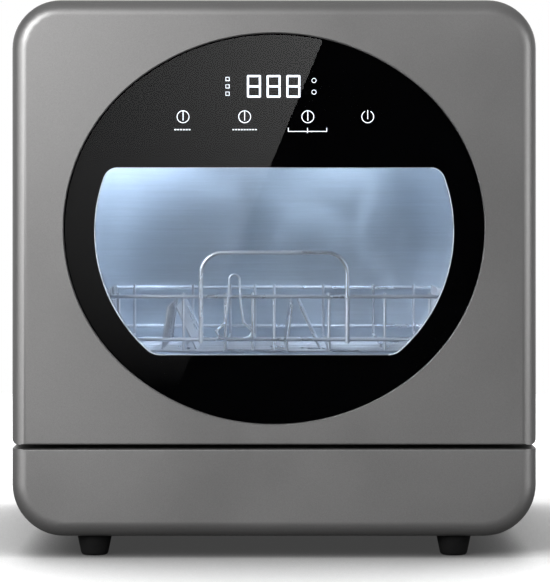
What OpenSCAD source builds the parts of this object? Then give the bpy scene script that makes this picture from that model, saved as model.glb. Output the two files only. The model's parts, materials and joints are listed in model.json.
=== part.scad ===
// Countertop dishwasher with a drop-down glass door, a built-in water tank and a rolling rack.
// Millimetres, +Z up, front towards -Y, origin on the floor under the middle of the body.

/* [Body] */
// Width of the body
body_w = 430; // [410:1:450]
// Depth over the glass and the back edge
body_d = 425; // [415:1:450]
// Height of the body above the feet
body_h = 440; // [434:1:470]
// Height of the feet
foot_h = 17; // [12:1:30]
// Height of the fixed base
base_h = 72.2; // [70:0.2:80]
// Open seam between the base and the door
seam = 3.5; // [3.2:0.1:5]
// Open seam between the door and the cabinet behind it
back_seam = 3.7; // [3.5:0.1:6]
// Radius of the two upper corners
top_r = 40; // [30:1:50]
// Radius of the two lower corners
bottom_r = 43; // [30:1:50]
// Radius of the rounded front edges
edge_r = 13; // [9:1:16]
// Wall of the painted shell
shell_wall = 2; // [1.5:0.1:3]
// Wall of the moulded parts
wall = 3; // [2:0.1:4]

/* [Door] */
// Thickness of the door
door_t = 42; // [40:1:46]
// Radius of the two lower corners of the door
door_r = 5.5; // [4:0.5:10]
// Half width of the oval glass
glass_a = 172; // [160:1:185]
// Half height of the oval glass
glass_b = 159.7; // [150:0.1:165]
// Radius of the oval's two ends
glass_end_r = 153; // [145:1:157]
// How far the middle of the oval glass lies below the middle of the door
glass_drop = 5.5; // [0:0.1:8]
// Thickness of the oval glass
glass_t = 4; // [3:0.5:5]
// How far the oval glass stands proud of the paint
glass_proud = 0.8; // [0.2:0.1:1.5]
// Gap round the oval glass
glass_gap = 0.9; // [0.4:0.1:1.5]
// Half width of the window at its widest
window_a = 147.1; // [120:0.1:150]
// Radius of the window's curved sides
window_side_r = 131; // [125:1:140]
// How far the window's widest place lies below the middle of the glass
window_drop = 2.1; // [0:0.1:6]
// How far the window's lower edge lies below the middle of the glass
window_down = 103.4; // [90:0.1:108]
// How far the window's upper edge lies above the middle of the glass
window_up = 50.1; // [30:0.1:60]
// Radius of the window's upper corners
window_r = 12; // [6:1:20]
// Radius of the window's lower corners
window_low_r = 16; // [8:1:24]
// Thickness of the pane behind the window
pane_t = 4; // [3:0.5:5]
// Distance of the hinge axis behind the painted front
hinge_in = 10; // [9:0.5:12]
// Height of the hinge axis above the door's lower edge
hinge_up = 12.2; // [12:0.1:15]
// Radius of the hinge pins
pin_r = 3; // [2.5:0.1:4]
// Running clearance of pins and shafts
run_gap = 0.05; // [0.02:0.01:0.1]

/* [Tub] */
// Room between the tub and each side of the body
tub_side = 45; // [42:0.5:48]
// Room between the tub and the top of the body
tub_roof = 57.1; // [53:0.1:61]
// Room between the tub and the back of the body
tub_behind = 77.5; // [75:0.1:82]
// Inner radius of the tub's corners
tub_r = 14; // [8:1:20]
// Wall of the tub
tub_wall = 2; // [1.2:0.1:2.5]
// Width of the door seal
seal_w = 8; // [6:0.5:8.5]

/* [Rack] */
// Room between the rack's rim wire and each side of the tub
rack_side = 20; // [19:0.5:24]
// Room between the rack's rim wire and the back of the tub
rack_behind = 16.7; // [13:0.1:30]
// Height of the rack's upper rim above the tub floor
rim_top = 84; // [76:1:100]
// Height of the rack's lower rim above the tub floor
rim_low = 48; // [46:1:56]
// Height of the rack's floor wires above the tub floor
floor_up = 40; // [38:1:42]
// Radius of the rim wires
rim_r = 1.6; // [1.2:0.1:2]
// Radius of the thin wires
wire_r = 1.3; // [1:0.1:1.6]
// Radius of the rack wheels
wheel_r = 11; // [10:0.5:11.5]
// Width of a rack wheel
wheel_w = 7; // [5:0.5:8]
// Height of the rack's handle above the upper rim
handle_up = 37; // [30:1:50]
// Half width of the rack's handle
handle_half = 61.4; // [50:0.2:75]

/* [Water] */
// Radius that the spray arms sweep
arm_r = 116; // [100:1:118]
// Thickness of a spray arm
arm_t = 9; // [7:0.5:10]
// Width of a spray arm
arm_w = 30; // [24:1:34]
// Radius of the spray arm spigots
spigot_r = 9; // [7:0.5:10]
// Room between the water tank and each side of the body
tank_side = 30; // [27:0.5:45]
// Room between the water tank and the top of the body
tank_roof = 59.1; // [56:0.1:80]
// Radius of the filter cup
cup_r = 22; // [18:1:23]
// Radius of the threaded inlet
inlet_r = 13.2; // [12:0.1:14]
// Radius of the drain spigot
drain_r = 9.5; // [8:0.5:11]
// Radius of the cord opening in its gland
cord_r = 4; // [3:0.1:5]

/* [Hidden] */
$fn = 48;

paint = [0.42, 0.42, 0.43];
black = [0.06, 0.06, 0.065];
steel = [0.78, 0.80, 0.82];
grey = [0.55, 0.57, 0.60];
white = [0.93, 0.94, 0.95];

// Clearance between bodies that pass each other, and between faces that only meet
body_gap = 0.3;
face_gap = 0.05;
// Room that a cut takes past the surface it opens
over = 1;

// Planes of the body
y_front = -body_d / 2 + glass_proud;
y_back = body_d / 2;
z_base = foot_h + base_h;
z_door = z_base + seam;
z_top = foot_h + body_h;
glass_z = (z_door + z_top) / 2 - glass_drop;
window_mid_z = glass_z - window_drop;
window_z0 = glass_z - window_down;
window_z1 = glass_z + window_up;
y_door = y_front + door_t;
y_case = y_door + back_seam;
frame_t = 6;
y_frame = y_case + frame_t;
panel_t = 2;
panel_in = 14.5;
y_panel = y_back - panel_in;
bottom_edge_r = 2;
lip_r = 1.5;

// Hinge of the door, and the height of the door's inner face when it lies open
hinge_y = y_front + hinge_in;
hinge_z = z_door + hinge_up;
open_z = hinge_z + y_door - hinge_y;
arm_half = 6.5;
bracket_t = 4;
bracket_x = body_w / 2 - 30;
slot_gap = 1;
sill_z = hinge_z + hinge_up - 0.2;

// Tub and what stands on its floor
rail_drop = 9;
rail_w = 16;
rail_t = 3;
rail_z = open_z + 0.1;
tub_z = open_z - rail_drop;
tub_top = z_top - tub_roof;
tub_w = body_w - 2 * tub_side;
tub_h = tub_top - tub_z;
y_tub = y_back - tub_behind;

// Rack
rack_front = y_case + 18.3;
rack_back = y_tub - rack_behind;
rack_w = tub_w - 2 * rack_side;
rack_d = rack_back - rack_front;
z_rim = tub_z + rim_top;
z_low = tub_z + rim_low;
z_wire = tub_z + floor_up;
rim_bend = 18;
upright_end = rack_w / 2 - rim_bend - wire_r;
upright_x = [-upright_end, -76, -41, -18, 0, 46, 93, upright_end];
rack_mid = (rack_front + rack_back) / 2;
axle_r = 2.5;
wheel_z = open_z + 0.4 + wheel_r;
wheel_x = rack_w / 2 + 7.5;
wheel_front = hinge_y + 121.7;
wheel_back = rack_back - 23;
wheel_places = [[-1, wheel_front], [1, wheel_front], [-1, wheel_back], [1, wheel_back]];

// Spray arms
hub_y = y_frame + 155;
lower_arm_z = tub_z + 13.4;
upper_arm_z = tub_top - 26;
shoulder_r = spigot_r + 4;

// Filter, sump and pumps
filter_x = -58;
filter_y = hub_y + 27;
well_gap = 5;
well_wall = 3;
well_r = cup_r + well_gap;
plate_r = 42;
plate_t = 1.6;
pump_z = foot_h + 47;
well_z = pump_z - 17;
volute_r = 36;
volute_half = 12;
hose_r = 8;
hose_bore = 6;
hose_bend = 12;
hose_drop = 20;

// Water tank behind the tub
tank_y = y_tub + tub_wall + 1;
tank_back = y_panel - 3;
tank_z = tub_z + 4;
tank_top = z_top - tank_roof;
tank_w = body_w - 2 * tank_side;
tank_wall = 2;

// Filler in the top of the shell
filler_y = (tank_y + tank_back) / 2;
filler_w = 92;
filler_l = 58;
filler_r = 6;
filler_deep = 4;
neck_r = 21;
lid_gap = 0.6;
lid_t = 2.6;
lid_sink = 0.2;
lid_pin_r = 1.2;
lid_pin_end = filler_w / 2 + 0.9;
barrel_r = 2.3;
barrel_half = filler_w / 2 - filler_r;
lid_corner = 4.5;
lid_hinge_y = filler_y + filler_l / 2 - barrel_r - 0.7;
lid_hinge_z = z_top - lid_sink - barrel_r - 0.1;
tray_t = 4;

// Ports in the rear panel
inlet_x = body_w / 2 - 65;
inlet_z = foot_h + 53;
drain_x = 65 - body_w / 2;
drain_z = pump_z;
gland_x = -60;
gland_z = foot_h + 28;
collar_over = 2;
collar_proud = 0.5;
relief_w = 0.5;
relief_deep = 1.5;
fan_x = 85 - body_w / 2;
fan_r = 20;
fan_z = (tank_top + z_top) / 2 + 2;
fan_front = y_panel - 26;
fan_hub_r = 8;

// Layers of the glass
mask_t = 0.4;
mark_t = 0.3;
y_glass = y_front - glass_proud;
y_mark = y_glass + glass_t + face_gap;
y_mask = y_mark + mark_t + face_gap;
y_ledge = y_mask + mask_t + face_gap;
y_pane = y_door - 1.5 - 2 - pane_t;
liner_t = 1.5;

// Detergent cup
cup_x = 42;
cup_z = z_top - 85;
cup_w = 60;
cup_h = 42;
cup_deep = 15;
cup_rim = 4;
lid_slide = 56;

// Screws, feet and lugs
screw_r = 2;
foot_x = body_w / 2 - 66.6;
foot_y = [y_front + 28, y_back - 50];
lug_w = 20;
lug_l = 8;
lug_half = 7;
low_lug_x = 110;
low_lug_z = foot_h + wall + 9;
high_screw_x = body_w / 2 - shell_wall - 9;
high_screw_z = [tub_z + 20, z_top - 60];
panel_screw_places = [for (s = [-1, 1]) each [[s * high_screw_x, high_screw_z[0]],
    [s * high_screw_x, high_screw_z[1]], [s * low_lug_x, low_lug_z]]];
liner_screw_x = body_w / 2 - 19;
liner_screw_drop = 57;
liner_screw_places = [for (s = [-1, 1]) each [[s * liner_screw_x, sill_z + 24],
    [s * liner_screw_x, (sill_z + z_top) / 2], [s * liner_screw_x, z_top - liner_screw_drop],
    [s * 90, z_top - 29]]];

// Board in the base
board_x = [body_w / 2 - 145, body_w / 2 - 55];
board_y = [y_frame + 10, y_frame + 90];
board_post_r = 3;
board_z = foot_h + wall + 8;

// Openings and small fittings
filler_rim = 2.5;
gland_r = cord_r + 4;
grille_pitch = 5.5;
grille_slot = 3;
grip_w = 120;
grip_h = 14;
grip_wall = 2;
latch_z = z_top - 26;
latch_slot_w = 28;
latch_slot_h = 22;
fill_x = filter_x - 42;
sump_port_z = tub_z - tub_wall - 45;
port_l = 8;
drain_port_l = 34;
spigot_l = 16;
feed_y = filter_y + 27;
volute_top = pump_z + volute_r + 1;
drain_pump_y = filter_y - well_r - well_wall - 2;
heater_r = 4;
heater_ring_r = 104;
heater_gap = 14;
heater_leg_x = heater_ring_r * sin(heater_gap);
heater_leg_y = heater_ring_r * cos(heater_gap);
duct_x0 = fan_x - 18;
duct_x1 = fan_x + 18;
duct_y0 = y_tub - 50;
duct_y1 = y_tub - 14;

// Wires of the rack
z_cross = z_wire - 2 * wire_r - face_gap;
wire_in = rim_r + wire_r + face_gap;
cross_pitch = 28;
tine_r = 1.2;
tine_h = 38;
tine_banks = [-105, 0];
handle_r = 1.9;
clip_r = 1;
clip_x = -33.4;
// Half width of the clip and height above the lower rim, from its crown to its foot
clip_path = [[4.4, 50], [5.2, 32], [7.8, 14], [11.5, 11], [15.2, 7], [13, 2.8], [8, 1.2]];

// Marks under the glass
display_x = -0.4;
display_z = glass_z + 116.4;
digit_w = 11.4;
digit_h = 18.4;
digit_bar = 1.6;
digit_gap = 0.25;
digit_pitch = 16.1;
sign_line = 0.5;
sign_x = [-38.1, 32.6];
key_z = glass_z + 91.55;
key_r = 5.2;
key_line = 0.65;
key_x = [-74.5, -24.1, 27.55];
power_x = 76.55;
power_gap = 2.2;
label_l = [14, 20];
label_z = key_z - 10.55;
dash_l = 1.5;
dash_pitch = 2.3;
bracket_x0 = 11.6;
bracket_x1 = 43;
bracket_z = key_z - 12;
bracket_rise = 3;

// A quarter of a disc
module quarter(r) {
    intersection() {
        circle(r);
        square(r);
    }
}

// A rectangle standing on its lower edge, with round upper and lower corners
module outline(w, h, rt, rb) {
    translate([-w / 2, rb]) square([w, h - rt - rb]);
    if (rt > 0) {
        translate([-w / 2 + rt, h - rt]) square([w - 2 * rt, rt]);
        for (s = [0, 1]) mirror([s, 0]) translate([w / 2 - rt, h - rt]) quarter(rt);
    }
    if (rb > 0) {
        translate([-w / 2 + rb, 0]) square([w - 2 * rb, rb]);
        for (s = [0, 1]) mirror([s, 0]) translate([w / 2 - rb, rb]) mirror([0, 1]) quarter(rb);
    }
}

// A plate in the XZ plane from y0 to y1
module upright_plate(y0, y1) {
    translate([0, y1, 0]) rotate([90, 0, 0]) linear_extrude(y1 - y0) children();
}

// A block between two corner points
module block(a, b) {
    translate(a) cube(b - a);
}

// Round bars along each axis, from one coordinate to another
module x_rod(r, x0, x1, y, z) {
    translate([x0, y, z]) rotate([0, 90, 0]) cylinder(r = r, h = x1 - x0);
}

module y_rod(r, y0, y1, x, z) {
    translate([x, y0, z]) rotate([-90, 0, 0]) cylinder(r = r, h = y1 - y0);
}

module z_rod(r, z0, z1, x, y) {
    translate([x, y, z0]) cylinder(r = r, h = z1 - z0);
}

// A round bar between two points
module rod(p, q, r) {
    v = q - p;
    len = norm(v);
    translate(p) rotate([0, acos(v[2] / len), atan2(v[1], v[0])]) cylinder(r = r, h = len);
}

// A round bar along a list of points that turns square corners in quarter rings
module bent_bar(points, r, bend) {
    last = len(points) - 1;
    way = [for (i = [0 : last - 1]) (points[i + 1] - points[i]) / norm(points[i + 1] - points[i])];
    for (i = [0 : last - 1]) rod(points[i] + (i > 0 ? bend : 0) * way[i],
        points[i + 1] - (i < last - 1 ? bend : 0) * way[i], r);
    if (last > 1) for (i = [1 : last - 1]) {
        x = -way[i];
        y = way[i - 1];
        z = cross(x, y);
        c = points[i] + bend * (way[i] - way[i - 1]);
        multmatrix([[x[0], y[0], z[0], c[0]], [x[1], y[1], z[1], c[1]], [x[2], y[2], z[2], c[2]]])
            rotate_extrude(angle = 90) translate([bend, 0]) circle(r);
    }
}

// A hose with its bore along a list of points
module hose(points) {
    difference() {
        bent_bar(points, hose_r, hose_bend);
        bent_bar(points, hose_bore, hose_bend);
    }
}

// A slab whose front edges are rounded at both sides and along one end with round corners
module round_front(w, h, rc, re, y0, y1) {
    upright_plate(y0 + re, y1) outline(w, h, rc, 0);
    block([-w / 2 + rc, y0, 0], [w / 2 - rc, y0 + re, h - re]);
    for (s = [0, 1]) mirror([s, 0, 0]) {
        block([w / 2 - rc, y0, 0], [w / 2 - re, y0 + re, h - rc]);
        translate([w / 2 - re, y0 + re, 0]) mirror([0, 1, 0])
            linear_extrude(h - rc) quarter(re);
        translate([w / 2 - rc, y0 + re, h - rc]) rotate([90, 0, 0])
            rotate_extrude(angle = 90) {
                square([rc - re, re]);
                translate([rc - re, 0]) quarter(re);
            }
    }
    translate([-w / 2 + rc, y0 + re, h - re]) rotate([90, 0, 90]) mirror([1, 0, 0])
        linear_extrude(w - 2 * rc) quarter(re);
}

// A slab whose front edges are rounded at both sides and lightly along its lower edge
module low_front(w, h, rb, re, rl, y0, y1) {
    intersection() {
        linear_extrude(h) {
            translate([-w / 2, y0 + re]) square([w, y1 - y0 - re]);
            translate([-w / 2 + re, y0]) square([w - 2 * re, re]);
            for (s = [-1, 1]) translate([s * (w / 2 - re), y0 + re]) circle(re);
        }
        translate([-w, 0, 0]) rotate([90, 0, 90]) linear_extrude(2 * w) {
            translate([y0 + rl, 0]) square([y1 - y0 - rl + over, h]);
            translate([y0, rl]) square([rl, h - rl]);
            translate([y0 + rl, rl]) circle(rl);
        }
        upright_plate(y0 - over, y1 + over) outline(w, h, 0, rb);
    }
}

// The whole door as a solid, drawn in by an inset, with its back pushed out by more
module door_solid(inset, more) {
    split = z_door + 60;
    translate([0, 0, split])
        round_front(body_w - 2 * inset, z_top - inset - split, top_r - inset, edge_r - inset,
            y_front + inset, y_door + more);
    translate([0, 0, z_door + inset])
        low_front(body_w - 2 * inset, split - z_door - inset, door_r - inset / 2,
            edge_r - inset, bottom_edge_r, y_front + inset, y_door + more);
}

// The whole base as a solid, drawn in by an inset, with its back and top pushed out by more
module base_solid(inset, more) {
    split = foot_h + bottom_r + 2;
    translate([0, 0, split]) mirror([0, 0, 1])
        round_front(body_w - 2 * inset, split - foot_h - inset, bottom_r - inset,
            edge_r - inset, y_front + inset, y_back + more);
    translate([0, 0, z_base + more]) mirror([0, 0, 1])
        low_front(body_w - 2 * inset, z_base + more - split, 0, edge_r - inset, lip_r,
            y_front + inset, y_back + more);
}

module base_housing() {
    color(paint) difference() {
        union() {
            difference() {
                base_solid(0, 0);
                difference() {
                    base_solid(wall, over);
                    block([-body_w, y_front, z_base - wall], [body_w, y_frame, z_base + 2 * over]);
                }
            }
            for (x = board_x, y = board_y) z_rod(board_post_r, foot_h + wall - over, board_z, x, y);
            for (s = [-1, 1]) block([s * low_lug_x - 8, y_panel - lug_l, foot_h + wall - over],
                [s * low_lug_x + 8, y_panel - face_gap, low_lug_z + lug_half]);
        }
        for (s = [-1, 1])
            y_rod(screw_r + face_gap, y_panel - lug_l - over, y_panel + over, s * low_lug_x, low_lug_z);
        for (s = [-1, 1], y = foot_y)
            z_rod(screw_r + face_gap, foot_h - over, foot_h + wall + over, s * foot_x, y);
    }
}

module filler_opening(grow) {
    translate([0, filler_y - filler_l / 2 - grow, 0])
        outline(filler_w + 2 * grow, filler_l + 2 * grow, filler_r + grow, filler_r + grow);
}

module outer_shell() {
    in_w = body_w - 2 * shell_wall;
    color(paint) difference() {
        union() {
            difference() {
                upright_plate(y_case, y_back) translate([0, z_base + body_gap])
                    outline(body_w, z_top - z_base - body_gap, top_r, 0);
                upright_plate(y_case - over, y_back + over) translate([0, z_base - over])
                    outline(in_w, z_top - shell_wall - z_base + over, top_r - shell_wall, 0);
            }
            for (s = [0, 1], z = high_screw_z) mirror([s, 0, 0])
                block([in_w / 2 - lug_w, y_panel - lug_l, z - lug_half],
                    [in_w / 2 + over, y_panel - face_gap, z + lug_half]);
        }
        translate([0, 0, z_top - shell_wall - over]) linear_extrude(shell_wall + 2 * over)
            filler_opening(filler_rim);
        for (s = [-1, 1], z = high_screw_z)
            y_rod(screw_r + face_gap, y_panel - lug_l - over, y_panel + over, s * high_screw_x, z);
    }
}

module panel_outline() {
    low_w = body_w - 2 * wall - 2 * face_gap;
    high_w = body_w - 2 * shell_wall - 2 * face_gap;
    z0 = foot_h + wall + face_gap;
    z1 = z_top - shell_wall - face_gap;
    translate([0, z0]) outline(low_w, z_base - z0, 0, bottom_r - wall - face_gap);
    translate([0, z_base - over]) outline(low_w, z1 - z_base + over, top_r, 0);
    translate([0, z_base + body_gap])
        outline(high_w, z1 - z_base - body_gap, top_r - shell_wall - face_gap, 0);
}

module rear_panel() {
    color(grey) difference() {
        upright_plate(y_panel, y_panel + panel_t) panel_outline();
        y_rod(inlet_r + collar_over + face_gap, y_panel - over, y_panel + panel_t + over, inlet_x, inlet_z);
        y_rod(drain_r + collar_over + face_gap, y_panel - over, y_panel + panel_t + over, drain_x, drain_z);
        y_rod(gland_r + face_gap, y_panel - over, y_panel + panel_t + over, gland_x, gland_z);
        for (i = [-3 : 3]) {
            half = sqrt(pow(fan_r - 1, 2) - pow(i * grille_pitch, 2));
            block([fan_x - half, y_panel - over, fan_z + i * grille_pitch - grille_slot / 2],
                [fan_x + half, y_panel + panel_t + over, fan_z + i * grille_pitch + grille_slot / 2]);
        }
        for (p = panel_screw_places)
            y_rod(screw_r + face_gap, y_panel - over, y_panel + panel_t + over, p[0], p[1]);
    }
}

module front_frame() {
    outer_w = body_w - 2 * shell_wall - 2 * face_gap;
    z0 = z_base + body_gap;
    z1 = z_top - shell_wall - face_gap;
    color(black) difference() {
        upright_plate(y_case, y_frame) translate([0, z0])
            outline(outer_w, z1 - z0, top_r - shell_wall - face_gap, 0);
        upright_plate(y_case - over, y_frame + over) translate([0, tub_z])
            outline(tub_w, tub_h, tub_r, tub_r);
        for (s = [-1, 1])
            block([s * bracket_x - bracket_t / 2 - face_gap, y_case - over, hinge_z - arm_half - face_gap],
                [s * bracket_x + bracket_t / 2 + face_gap, y_frame + over, hinge_z + arm_half + face_gap]);
        block([-latch_slot_w / 2, y_case - over, latch_z - latch_slot_h / 2],
            [latch_slot_w / 2, y_frame + over, latch_z + latch_slot_h / 2]);
    }
}

module tub() {
    color(steel) difference() {
        upright_plate(y_frame, y_tub + tub_wall) translate([0, tub_z - tub_wall])
            outline(tub_w + 2 * tub_wall, tub_h + 2 * tub_wall, tub_r + tub_wall, tub_r + tub_wall);
        upright_plate(y_frame - over, y_tub) translate([0, tub_z]) outline(tub_w, tub_h, tub_r, tub_r);
        z_rod(plate_r + face_gap, tub_z - tub_wall - over, tub_z + over, filter_x, filter_y);
        z_rod(spigot_r + face_gap, tub_z - tub_wall - over, tub_z + over, 0, hub_y);
        z_rod(spigot_r + face_gap, tub_top - over, tub_top + tub_wall + over, 0, hub_y);
        for (s = [-1, 1]) z_rod(heater_r + face_gap, tub_z - tub_wall - over, tub_z + over,
            s * heater_leg_x, hub_y + heater_leg_y);
        block([duct_x0, duct_y0, tub_top - over], [duct_x1, duct_y1, tub_top + tub_wall + over]);
    }
}

module tub_seal() {
    color(black) difference() {
        upright_plate(y_door + body_gap, y_case) translate([0, tub_z - seal_w])
            outline(tub_w + 2 * seal_w, tub_h + 2 * seal_w, tub_r + seal_w, tub_r + seal_w);
        upright_plate(y_door - over, y_case + over) translate([0, tub_z - 0.6])
            outline(tub_w + 1.2, tub_h + 1.2, tub_r + 0.6, tub_r + 0.6);
    }
}

module sump() {
    flange_z = tub_z - tub_wall;
    color(black) difference() {
        union() {
            z_rod(plate_r + 6, flange_z - 3, flange_z, filter_x, filter_y);
            z_rod(well_r + well_wall, well_z, flange_z - 3, filter_x, filter_y);
            x_rod(11, filter_x, -volute_half, filter_y, pump_z);
            y_rod(9, drain_pump_y, filter_y, filter_x, pump_z);
            z_rod(10, sump_port_z, flange_z - 3, fill_x, filter_y);
            block([fill_x, filter_y - 10, sump_port_z], [filter_x, filter_y + 10, flange_z - 3]);
        }
        z_rod(well_r, well_z + well_wall, flange_z + over, filter_x, filter_y);
        x_rod(9, filter_x, -volute_half + over, filter_y, pump_z);
        y_rod(7, drain_pump_y - over, filter_y, filter_x, pump_z);
        z_rod(hose_bore, sump_port_z - over, flange_z - 12, fill_x, filter_y);
        block([fill_x, filter_y - 6, flange_z - 24], [filter_x, filter_y + 6, flange_z - 12]);
    }
}

module heater_ring() {
    z = tub_z + 6.6;
    color(steel) union() {
        translate([0, hub_y, z]) rotate([0, 0, 90 + heater_gap])
            rotate_extrude(angle = 360 - 2 * heater_gap) translate([heater_ring_r, 0]) circle(heater_r);
        for (s = [-1, 1]) {
            translate([s * heater_leg_x, hub_y + heater_leg_y, z]) sphere(heater_r * 1.12);
            z_rod(heater_r, tub_z - 24, z, s * heater_leg_x, hub_y + heater_leg_y);
        }
        for (a = [0, 180, 270]) translate([heater_ring_r * cos(a), hub_y + heater_ring_r * sin(a), tub_z])
            cylinder(r = 3, h = 4);
    }
}

module filter_plate() {
    color(steel) difference() {
        z_rod(plate_r, tub_z - tub_wall + face_gap, tub_z - tub_wall + plate_t, filter_x, filter_y);
        z_rod(cup_r + 0.6, tub_z - tub_wall - over, tub_z + over, filter_x, filter_y);
        for (a = [0 : 30 : 330], r = [plate_r - 11, plate_r - 6])
            z_rod(1.4, tub_z - tub_wall - over, tub_z + over, filter_x + r * cos(a), filter_y + r * sin(a));
    }
}

module filter_cup() {
    top = tub_z + 0.4;
    bottom = well_z + well_wall + 1;
    color(grey) union() {
        difference() {
            union() {
                z_rod(cup_r, bottom, top, filter_x, filter_y);
                z_rod(cup_r + 3.4, top, top + 1.4, filter_x, filter_y);
            }
            z_rod(cup_r - 1.4, bottom + 1.4, top + 1.4 + over, filter_x, filter_y);
        }
        block([filter_x - cup_r, filter_y - 2.5, top - 4], [filter_x + cup_r, filter_y + 2.5, top + 7]);
    }
}

module lower_hub() {
    color(grey) difference() {
        union() {
            z_rod(spigot_r, volute_top + body_gap, lower_arm_z + arm_t + 0.6, 0, hub_y);
            z_rod(shoulder_r, tub_z, lower_arm_z - body_gap, 0, hub_y);
            z_rod(shoulder_r, tub_z - tub_wall - 4, tub_z - tub_wall, 0, hub_y);
            z_rod(shoulder_r - 1, lower_arm_z + arm_t + body_gap, lower_arm_z + arm_t + 3, 0, hub_y);
        }
        z_rod(spigot_r - 2.5, volute_top - over, lower_arm_z + arm_t / 2 + 3, 0, hub_y);
    }
}

module upper_hub() {
    color(grey) difference() {
        union() {
            z_rod(spigot_r, upper_arm_z - 0.6, tub_top + tub_wall + 6, 0, hub_y);
            z_rod(shoulder_r, upper_arm_z + arm_t + body_gap, tub_top, 0, hub_y);
            z_rod(shoulder_r - 1, upper_arm_z - 3, upper_arm_z - body_gap, 0, hub_y);
        }
        z_rod(hose_bore, upper_arm_z + arm_t / 2 - 3, tub_top + tub_wall + 6 + over, 0, hub_y);
    }
}

// A flat spray arm with its bearing and a row of jets
module spray_arm(z, jets_up) {
    color(grey) translate([0, hub_y, z]) difference() {
        union() {
            linear_extrude(arm_t) {
                translate([-arm_r + arm_w / 2, -arm_w / 2]) square([2 * arm_r - arm_w, arm_w]);
                for (s = [-1, 1]) translate([s * (arm_r - arm_w / 2), 0]) circle(arm_w / 2);
            }
            cylinder(r = spigot_r + 9, h = arm_t);
        }
        translate([0, 0, -over]) cylinder(r = spigot_r + run_gap, h = arm_t + 2 * over);
        for (i = [2 : 5], s = [-1, 1])
            translate([s * i * arm_r / 6, s * (arm_w / 4), jets_up ? arm_t - 2 : -over])
                cylinder(r = 1.4, h = 2 + over);
    }
}

module lower_spray_arm() {
    spray_arm(lower_arm_z, true);
}

module upper_spray_arm() {
    spray_arm(upper_arm_z, false);
}

module wash_pump() {
    color(black) difference() {
        union() {
            x_rod(volute_r, -volute_half, volute_half, filter_y, pump_z);
            x_rod(28, volute_half, volute_half + 84, filter_y, pump_z);
            x_rod(12, volute_half + 84, volute_half + 90, filter_y, pump_z);
            z_rod(11, pump_z, volute_top, 0, hub_y);
            z_rod(11, pump_z, volute_top, 0, feed_y);
            for (x = [volute_half + 14, volute_half + 64])
                block([x, filter_y - 20, foot_h + wall], [x + 8, filter_y + 20, pump_z]);
        }
        x_rod(volute_r - 3, -volute_half + 3, volute_half - 3, filter_y, pump_z);
        x_rod(9, -volute_half - over, 0, filter_y, pump_z);
        for (y = [hub_y, feed_y]) z_rod(spigot_r - 2.5, pump_z, volute_top + over, 0, y);
    }
}

module drain_pump() {
    y1 = drain_pump_y;
    color(black) union() {
        difference() {
            union() {
                y_rod(20, y1 - 16, y1, filter_x, pump_z);
                x_rod(hose_r, filter_x - drain_port_l, filter_x, y1 - 8, pump_z);
            }
            y_rod(17, y1 - 13, y1 - 3, filter_x, pump_z);
            y_rod(7, y1 - 13, y1 + over, filter_x, pump_z);
            x_rod(hose_bore, filter_x - drain_port_l - over, filter_x, y1 - 8, pump_z);
        }
        y_rod(16, y1 - 62, y1 - 16, filter_x, pump_z);
        block([filter_x - 10, y1 - 48, foot_h + wall], [filter_x + 10, y1 - 34, pump_z]);
    }
}

module water_tank() {
    color(white) difference() {
        union() {
            block([-tank_w / 2, tank_y, tank_z], [tank_w / 2, tank_back, tank_top]);
            z_rod(neck_r - face_gap, tank_top - over, tank_top + 8, 0, filler_y);
            z_rod(hose_r, tank_z - port_l, tank_z + over, inlet_x, filler_y);
            z_rod(hose_r, tank_z - port_l, tank_z + over, fill_x, filler_y);
        }
        block([-tank_w / 2 + tank_wall, tank_y + tank_wall, tank_z + tank_wall],
            [tank_w / 2 - tank_wall, tank_back - tank_wall, tank_top - tank_wall]);
        z_rod(neck_r - tank_wall, tank_top - tank_wall - over, tank_top + 8 + over, 0, filler_y);
        z_rod(hose_bore, tank_z - port_l - over, tank_z + tank_wall + over, inlet_x, filler_y);
        z_rod(hose_bore, tank_z - port_l - over, tank_z + tank_wall + over, fill_x, filler_y);
    }
}

module filler_neck() {
    floor_z = z_top - filler_deep;
    color(black) difference() {
        union() {
            translate([0, 0, floor_z - tray_t]) linear_extrude(filler_deep + tray_t)
                filler_opening(filler_rim - face_gap);
            z_rod(neck_r + 3, tank_top + face_gap, floor_z - tray_t + over, 0, filler_y);
        }
        translate([0, 0, floor_z]) linear_extrude(filler_deep + over) filler_opening(0);
        z_rod(neck_r, tank_top - over, z_top, 0, filler_y);
        x_rod(barrel_r + 0.5, -barrel_half - 1, barrel_half + 1, lid_hinge_y, lid_hinge_z);
        x_rod(lid_pin_r + run_gap, -lid_pin_end - 0.2, lid_pin_end + 0.2, lid_hinge_y, lid_hinge_z);
    }
}

module filler_lid() {
    lid_z = z_top - lid_sink - lid_t;
    color(paint) union() {
        translate([0, 0, lid_z]) linear_extrude(lid_t) intersection() {
            filler_opening(-lid_gap);
            union() {
                translate([-filler_w, lid_hinge_y - 2 * filler_l])
                    square([2 * filler_w, 2 * filler_l - lid_corner]);
                translate([-barrel_half, lid_hinge_y - filler_l]) square([2 * barrel_half, filler_l]);
            }
        }
        x_rod(barrel_r, -barrel_half, barrel_half, lid_hinge_y, lid_hinge_z);
        x_rod(lid_pin_r, -lid_pin_end, lid_pin_end, lid_hinge_y, lid_hinge_z);
        z_rod(neck_r - 3, lid_z - 3, lid_z + 1, 0, filler_y);
    }
}

// A port's round wall behind the panel, with the collar in the panel's hole and a relief before the wall
module port_wall(r, x, z) {
    y0 = y_panel + panel_t + collar_proud;
    y_rod(r + collar_over, y_panel - over, y0, x, z);
    y_rod(r - relief_deep, y0 - over, y0 + relief_w + over, x, z);
    y_rod(r, y0 + relief_w, y_back, x, z);
}

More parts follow.
